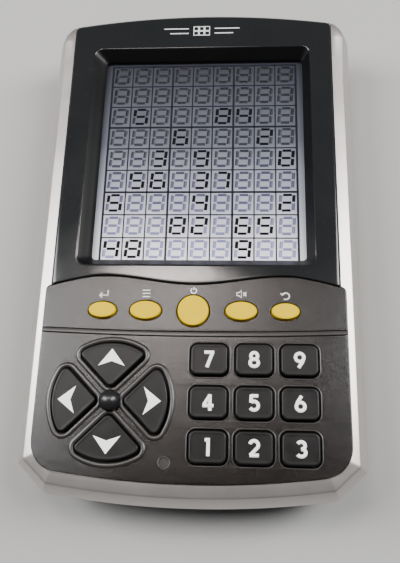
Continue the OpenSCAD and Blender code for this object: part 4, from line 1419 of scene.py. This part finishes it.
def buildFeet():
    parts = []
    pad = [(2.9, 0.12), (3.1, 0.02), (3.55, 0.0), (3.8, 0.12), (3.9, 0.35), (3.9, 1.5)]
    pad += [(3.6, 1.58), (0.0, 1.58)]
    for x, y in footPlaces:
        for side in (-1, 1):
            parts.append(lathe(pad, (side * x, y, 0), 40))
            parts.append(lathe([(0.0, 0.14), (2.85, 0.14), (2.95, 0.3), (0.0, 0.3)], (side * x, y, 0), 40))
    settle(newPiece("rubberFeet", parts, finishes["foot"], 40), "case", ["rubber_feet"])


def screwTree():
    # a pan head with a cross recess on every point that comes in
    tree, work, given = newTree("screwTree", [
        ("Head Radius", float), ("Head Height", float), ("Shank Radius", float), ("Shank Length", float),
        ("Slot Width", float), ("Slot Length", float), ("Slot Depth", float), ("Finish", bpy.types.Material)])
    head = work.add("GeometryNodeMeshCylinder", None, {
        "Vertices": 32, "Radius": given.also("Head Radius"), "Depth": given.also("Head Height")})
    lower = work.add("GeometryNodeMeshCone", None, {
        "Vertices": 32, "Radius Top": given.also("Head Radius") * 0.8,
        "Radius Bottom": given.also("Head Radius"), "Depth": given.also("Head Height") * 0.35})
    # heads face down, so the dished rim lies under the head
    rim = work.add("GeometryNodeTransform", None, {
        "Geometry": lower, "Rotation": (math.pi, 0, 0),
        "Translation": work.add("ShaderNodeCombineXYZ", None, {"Z": given.also("Head Height") * -0.5})})
    shank = work.add("GeometryNodeMeshCylinder", None, {
        "Vertices": 20, "Radius": given.also("Shank Radius"), "Depth": given.also("Shank Length")})
    lifted = work.add("GeometryNodeTransform", None, {
        "Geometry": shank, "Translation": work.add("ShaderNodeCombineXYZ", None, {
            "Z": (given.also("Shank Length") + given.also("Head Height")) * 0.5})})
    cuts = []
    for across in (False, True):
        long, wide = given.also("Slot Length"), given.also("Slot Width")
        size = work.add("ShaderNodeCombineXYZ", None, {
            "X": wide if across else long, "Y": long if across else wide, "Z": given.also("Slot Depth") * 2})
        bar = work.add("GeometryNodeMeshCube", None, {"Size": size})
        cuts.append(work.add("GeometryNodeTransform", None, {
            "Geometry": bar, "Translation": work.add("ShaderNodeCombineXYZ", None, {
                "Z": given.also("Head Height") * -0.85})}))
    solid = work.add("GeometryNodeMeshBoolean", {"operation": "UNION"}, {"Mesh 2": head})
    work.tree.links.new(rim.socket, solid.socket.node.inputs["Mesh 2"])
    work.tree.links.new(lifted.socket, solid.socket.node.inputs["Mesh 2"])
    carved = work.add("GeometryNodeMeshBoolean", {"operation": "DIFFERENCE"}, {
        "Mesh 1": solid, "Mesh 2": cuts[0]})
    work.tree.links.new(cuts[1].socket, carved.socket.node.inputs["Mesh 2"])
    screws = work.add("GeometryNodeInstanceOnPoints", None, {"Points": given, "Instance": carved})
    closeTree(work, screws, given.also("Finish"))
    return tree


screw = {
    "Head Radius": 2.45, "Head Height": 1.1, "Shank Radius": 1.3, "Shank Length": 10.0,
    "Slot Width": 0.55, "Slot Length": 2.6, "Slot Depth": 0.7,
}


def buildScrews():
    points = [(side * x * unit, y * unit, 4.9 * unit) for x, y in wellPlaces for side in (-1, 1)]
    mesh = bpy.data.meshes.new("caseScrews")
    mesh.from_pydata(points, [], [])
    holder = bpy.data.objects.new("caseScrews", mesh)
    scene.collection.objects.link(holder)
    sizes = {name: length * unit for name, length in screw.items()}
    grow(holder, screwTree(), {**sizes, "Finish": finishes["steel"]})
    if not holder.data.materials:
        holder.data.materials.append(finishes["steel"])
    softEdges(holder, 30)
    settle(holder, "case", ["case_screws"])


buildRear()
buildDoor()
buildFeet()
buildScrews()
print("underside made")


cells = {"diameter": 10.5, "length": 44.5, "nub": 1.9}


def cellProfile():
    r, length = cells["diameter"] / 2 - 0.03, cells["length"]
    nub = cells["nub"]
    profile = [(0.0, 0.05), (2.9, 0.05), (3.1, 0.2), (r - 0.9, 0.2), (r - 0.5, 0.1), (r - 0.1, 0.25)]
    profile += [(r, 0.6), (r, 0.9), (r, 28.0), (r, 28.05), (r, length - 1.8), (r - 0.12, length - 1.4)]
    profile += [(r - 0.6, length - 1.1), (r - 1.2, length - 1.15), (r - 1.5, length - 0.95)]
    profile += [(2.6, length - 0.9), (nub, length - 0.85), (nub, length - 0.15)]
    return profile + [(nub - 0.25, length - 0.02), (0.0, length)]


def buildCells():
    low, high = limits("batteries")
    pitch = (high.y - low.y) - cells["diameter"]
    middle = ((low.x + high.x) / 2, (low.y + high.y) / 2, (low.z + high.z) / 2)
    parts = []
    for side in (1, -1):
        start = high.x - cells["length"] if side > 0 else low.x + cells["length"]
        profile = [(r, h * side) for r, h in cellProfile()]
        parts.append(lathe(profile, (start, middle[1] + side * pitch / 2, middle[2]), 40, "x"))
    piece = newPiece("cells", parts, finishes["jacket"], 40)
    # 0 for the jacket, 0.5 for its band, 1 for bare metal
    mark = piece.data.attributes.new("jacketPart", "FLOAT", "CORNER")
    for face in piece.data.polygons:
        middleX = sum(piece.data.vertices[i].co.x for i in face.vertices) / len(face.vertices) / unit
        side = 1 if face.center.y / unit > middle[1] else -1
        along = (middleX - (high.x - cells["length"])) if side > 0 else ((low.x + cells["length"]) - middleX)
        kind = 0.0 if 0.9 < along < 28.02 else 0.5 if 28.0 < along < cells["length"] - 1.3 else 1.0
        for corner in face.loop_indices:
            mark.data[corner].value = kind
    settle(piece, "case", ["batteries"])


def springTree():
    tree, work, given = newTree("springTree", [
        ("Turns", float), ("Start Radius", float), ("End Radius", float), ("Length", float),
        ("Wire Radius", float), ("Finish", bpy.types.Material)])
    coil = work.add("GeometryNodeCurveSpiral", None, {
        "Resolution": 28, "Rotations": given.also("Turns"), "Start Radius": given.also("Start Radius"),
        "End Radius": given.also("End Radius"), "Height": given.also("Length")})
    section = work.add("GeometryNodeCurvePrimitiveCircle", {"mode": "RADIUS"}, {
        "Resolution": 10, "Radius": given.also("Wire Radius")})
    wire = work.add("GeometryNodeCurveToMesh", None, {
        "Curve": coil, "Profile Curve": section, "Fill Caps": True})
    closeTree(work, wire, given.also("Finish"))
    return tree


def buildSprings():
    low, high = limits("battery_springs")
    cellLow, cellHigh = limits("batteries")
    pitch = (cellHigh.y - cellLow.y) - cells["diameter"]
    middleY, middleZ = (cellLow.y + cellHigh.y) / 2, (cellLow.z + cellHigh.z) / 2
    tree = springTree()
    springs = []
    for side in (1, -1):
        spring = grownAt("spring", tree, {
            "Turns": 3.5, "Start Radius": 3.25 * unit, "End Radius": 1.9 * unit, "Length": 3.1 * unit,
            "Wire Radius": 0.33 * unit, "Finish": finishes["steel"]}, (0, 0, 0))
        turn = Matrix.Rotation(math.radians(90 * side), 4, "Y")
        x = low.x + 0.4 if side > 0 else high.x - 0.4
        place = Matrix.Translation(Vector((x, middleY + side * pitch / 2, middleZ)) * unit)
        spring.data.transform(place @ turn)
        springs.append(spring)
        if not spring.data.materials:
            spring.data.materials.append(finishes["steel"])
    piece = joined("batterySprings", springs)
    softEdges(piece, 60)
    settle(piece, "case", ["battery_springs"])


buildCells()
buildSprings()
print("battery bay made")


keptFinishes = {
    "lcd_frame": "holder", "lcd_connector": "zebra", "main_board": "board", "controller_chip": "chip",
    "board_parts": "sleeve", "number_mat": "dome", "arrow_mat": "dome", "button_mat": "dome",
    "reset_switch": "chip", "piezo_speaker": "brass", "speaker_wires": "wire", "battery_plates": "steel",
    "board_screws": "steel",
}
for node, finish in keptFinishes.items():
    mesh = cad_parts[node].data
    mesh.materials.clear()
    mesh.materials.append(finishes[finish])
print("inner parts finished")


studio = {
    "floor": (0.35, 0.347, 0.34), "world": 0.07, "warm": (1.0, 0.91, 0.87),
    # name: place, size, power, target, in millimetres and watts
    "lamps": {
        "glow": ((-76, 140, 500), (120, 74), 0.5, (-76, 140, 0)),
        "ceiling": ((-54, 92, 510), (160, 130), 0.42, (-54, 92, 0)),
        "left": ((-440, 90, 460), (230, 500), 6.3, (0, 10, 10)),
        "right": ((430, 130, 480), (240, 500), 6.9, (0, 10, 10)),
    },
}


def buildFloor():
    mesh = bpy.data.meshes.new("floor")
    reach = 1.5
    mesh.from_pydata([(-reach, -reach, 0), (reach, -reach, 0), (reach, reach, 0), (-reach, reach, 0)], [],
                     [(0, 1, 2, 3)])
    floor = bpy.data.objects.new("floor", mesh)
    scene.collection.objects.link(floor)
    finish, work = newFinish("floorCard")
    fibre = work.noise(1.2, 4, 0.6)
    shade = studio["floor"]
    base = work.blend(fibre, tone(*[c * 0.96 for c in shade]), tone(*shade))
    work.surface(Base_Color=base, Roughness=0.85, Normal=work.bump(fibre, 0.05, 0.4))
    mesh.materials.append(finish)


def addLamp(name, place, size, power, target):
    data = bpy.data.lights.new(name, "AREA")
    data.shape = "ELLIPSE" if name in ("glow", "ceiling") else "RECTANGLE"
    data.size, data.size_y = size[0] * unit, size[1] * unit
    data.energy = power
    if name in ("glow", "ceiling"):
        data.color = studio["warm"]
    lamp = bpy.data.objects.new(name, data)
    lamp.location = Vector(place) * unit
    aim = Vector(target) - Vector(place)
    lamp.rotation_euler = aim.to_track_quat("-Z", "Y").to_euler()
    scene.collection.objects.link(lamp)


buildFloor()
for name, (place, size, power, target) in studio["lamps"].items():
    addLamp(name, place, size, power, target)
world = bpy.data.worlds.new("studio")
world.use_nodes = True
backdrop = world.node_tree.nodes["Background"]
backdrop.inputs["Color"].default_value = (0.95, 0.97, 1.0, 1)
backdrop.inputs["Strength"].default_value = studio["world"]
scene.world = world
print("studio lit")
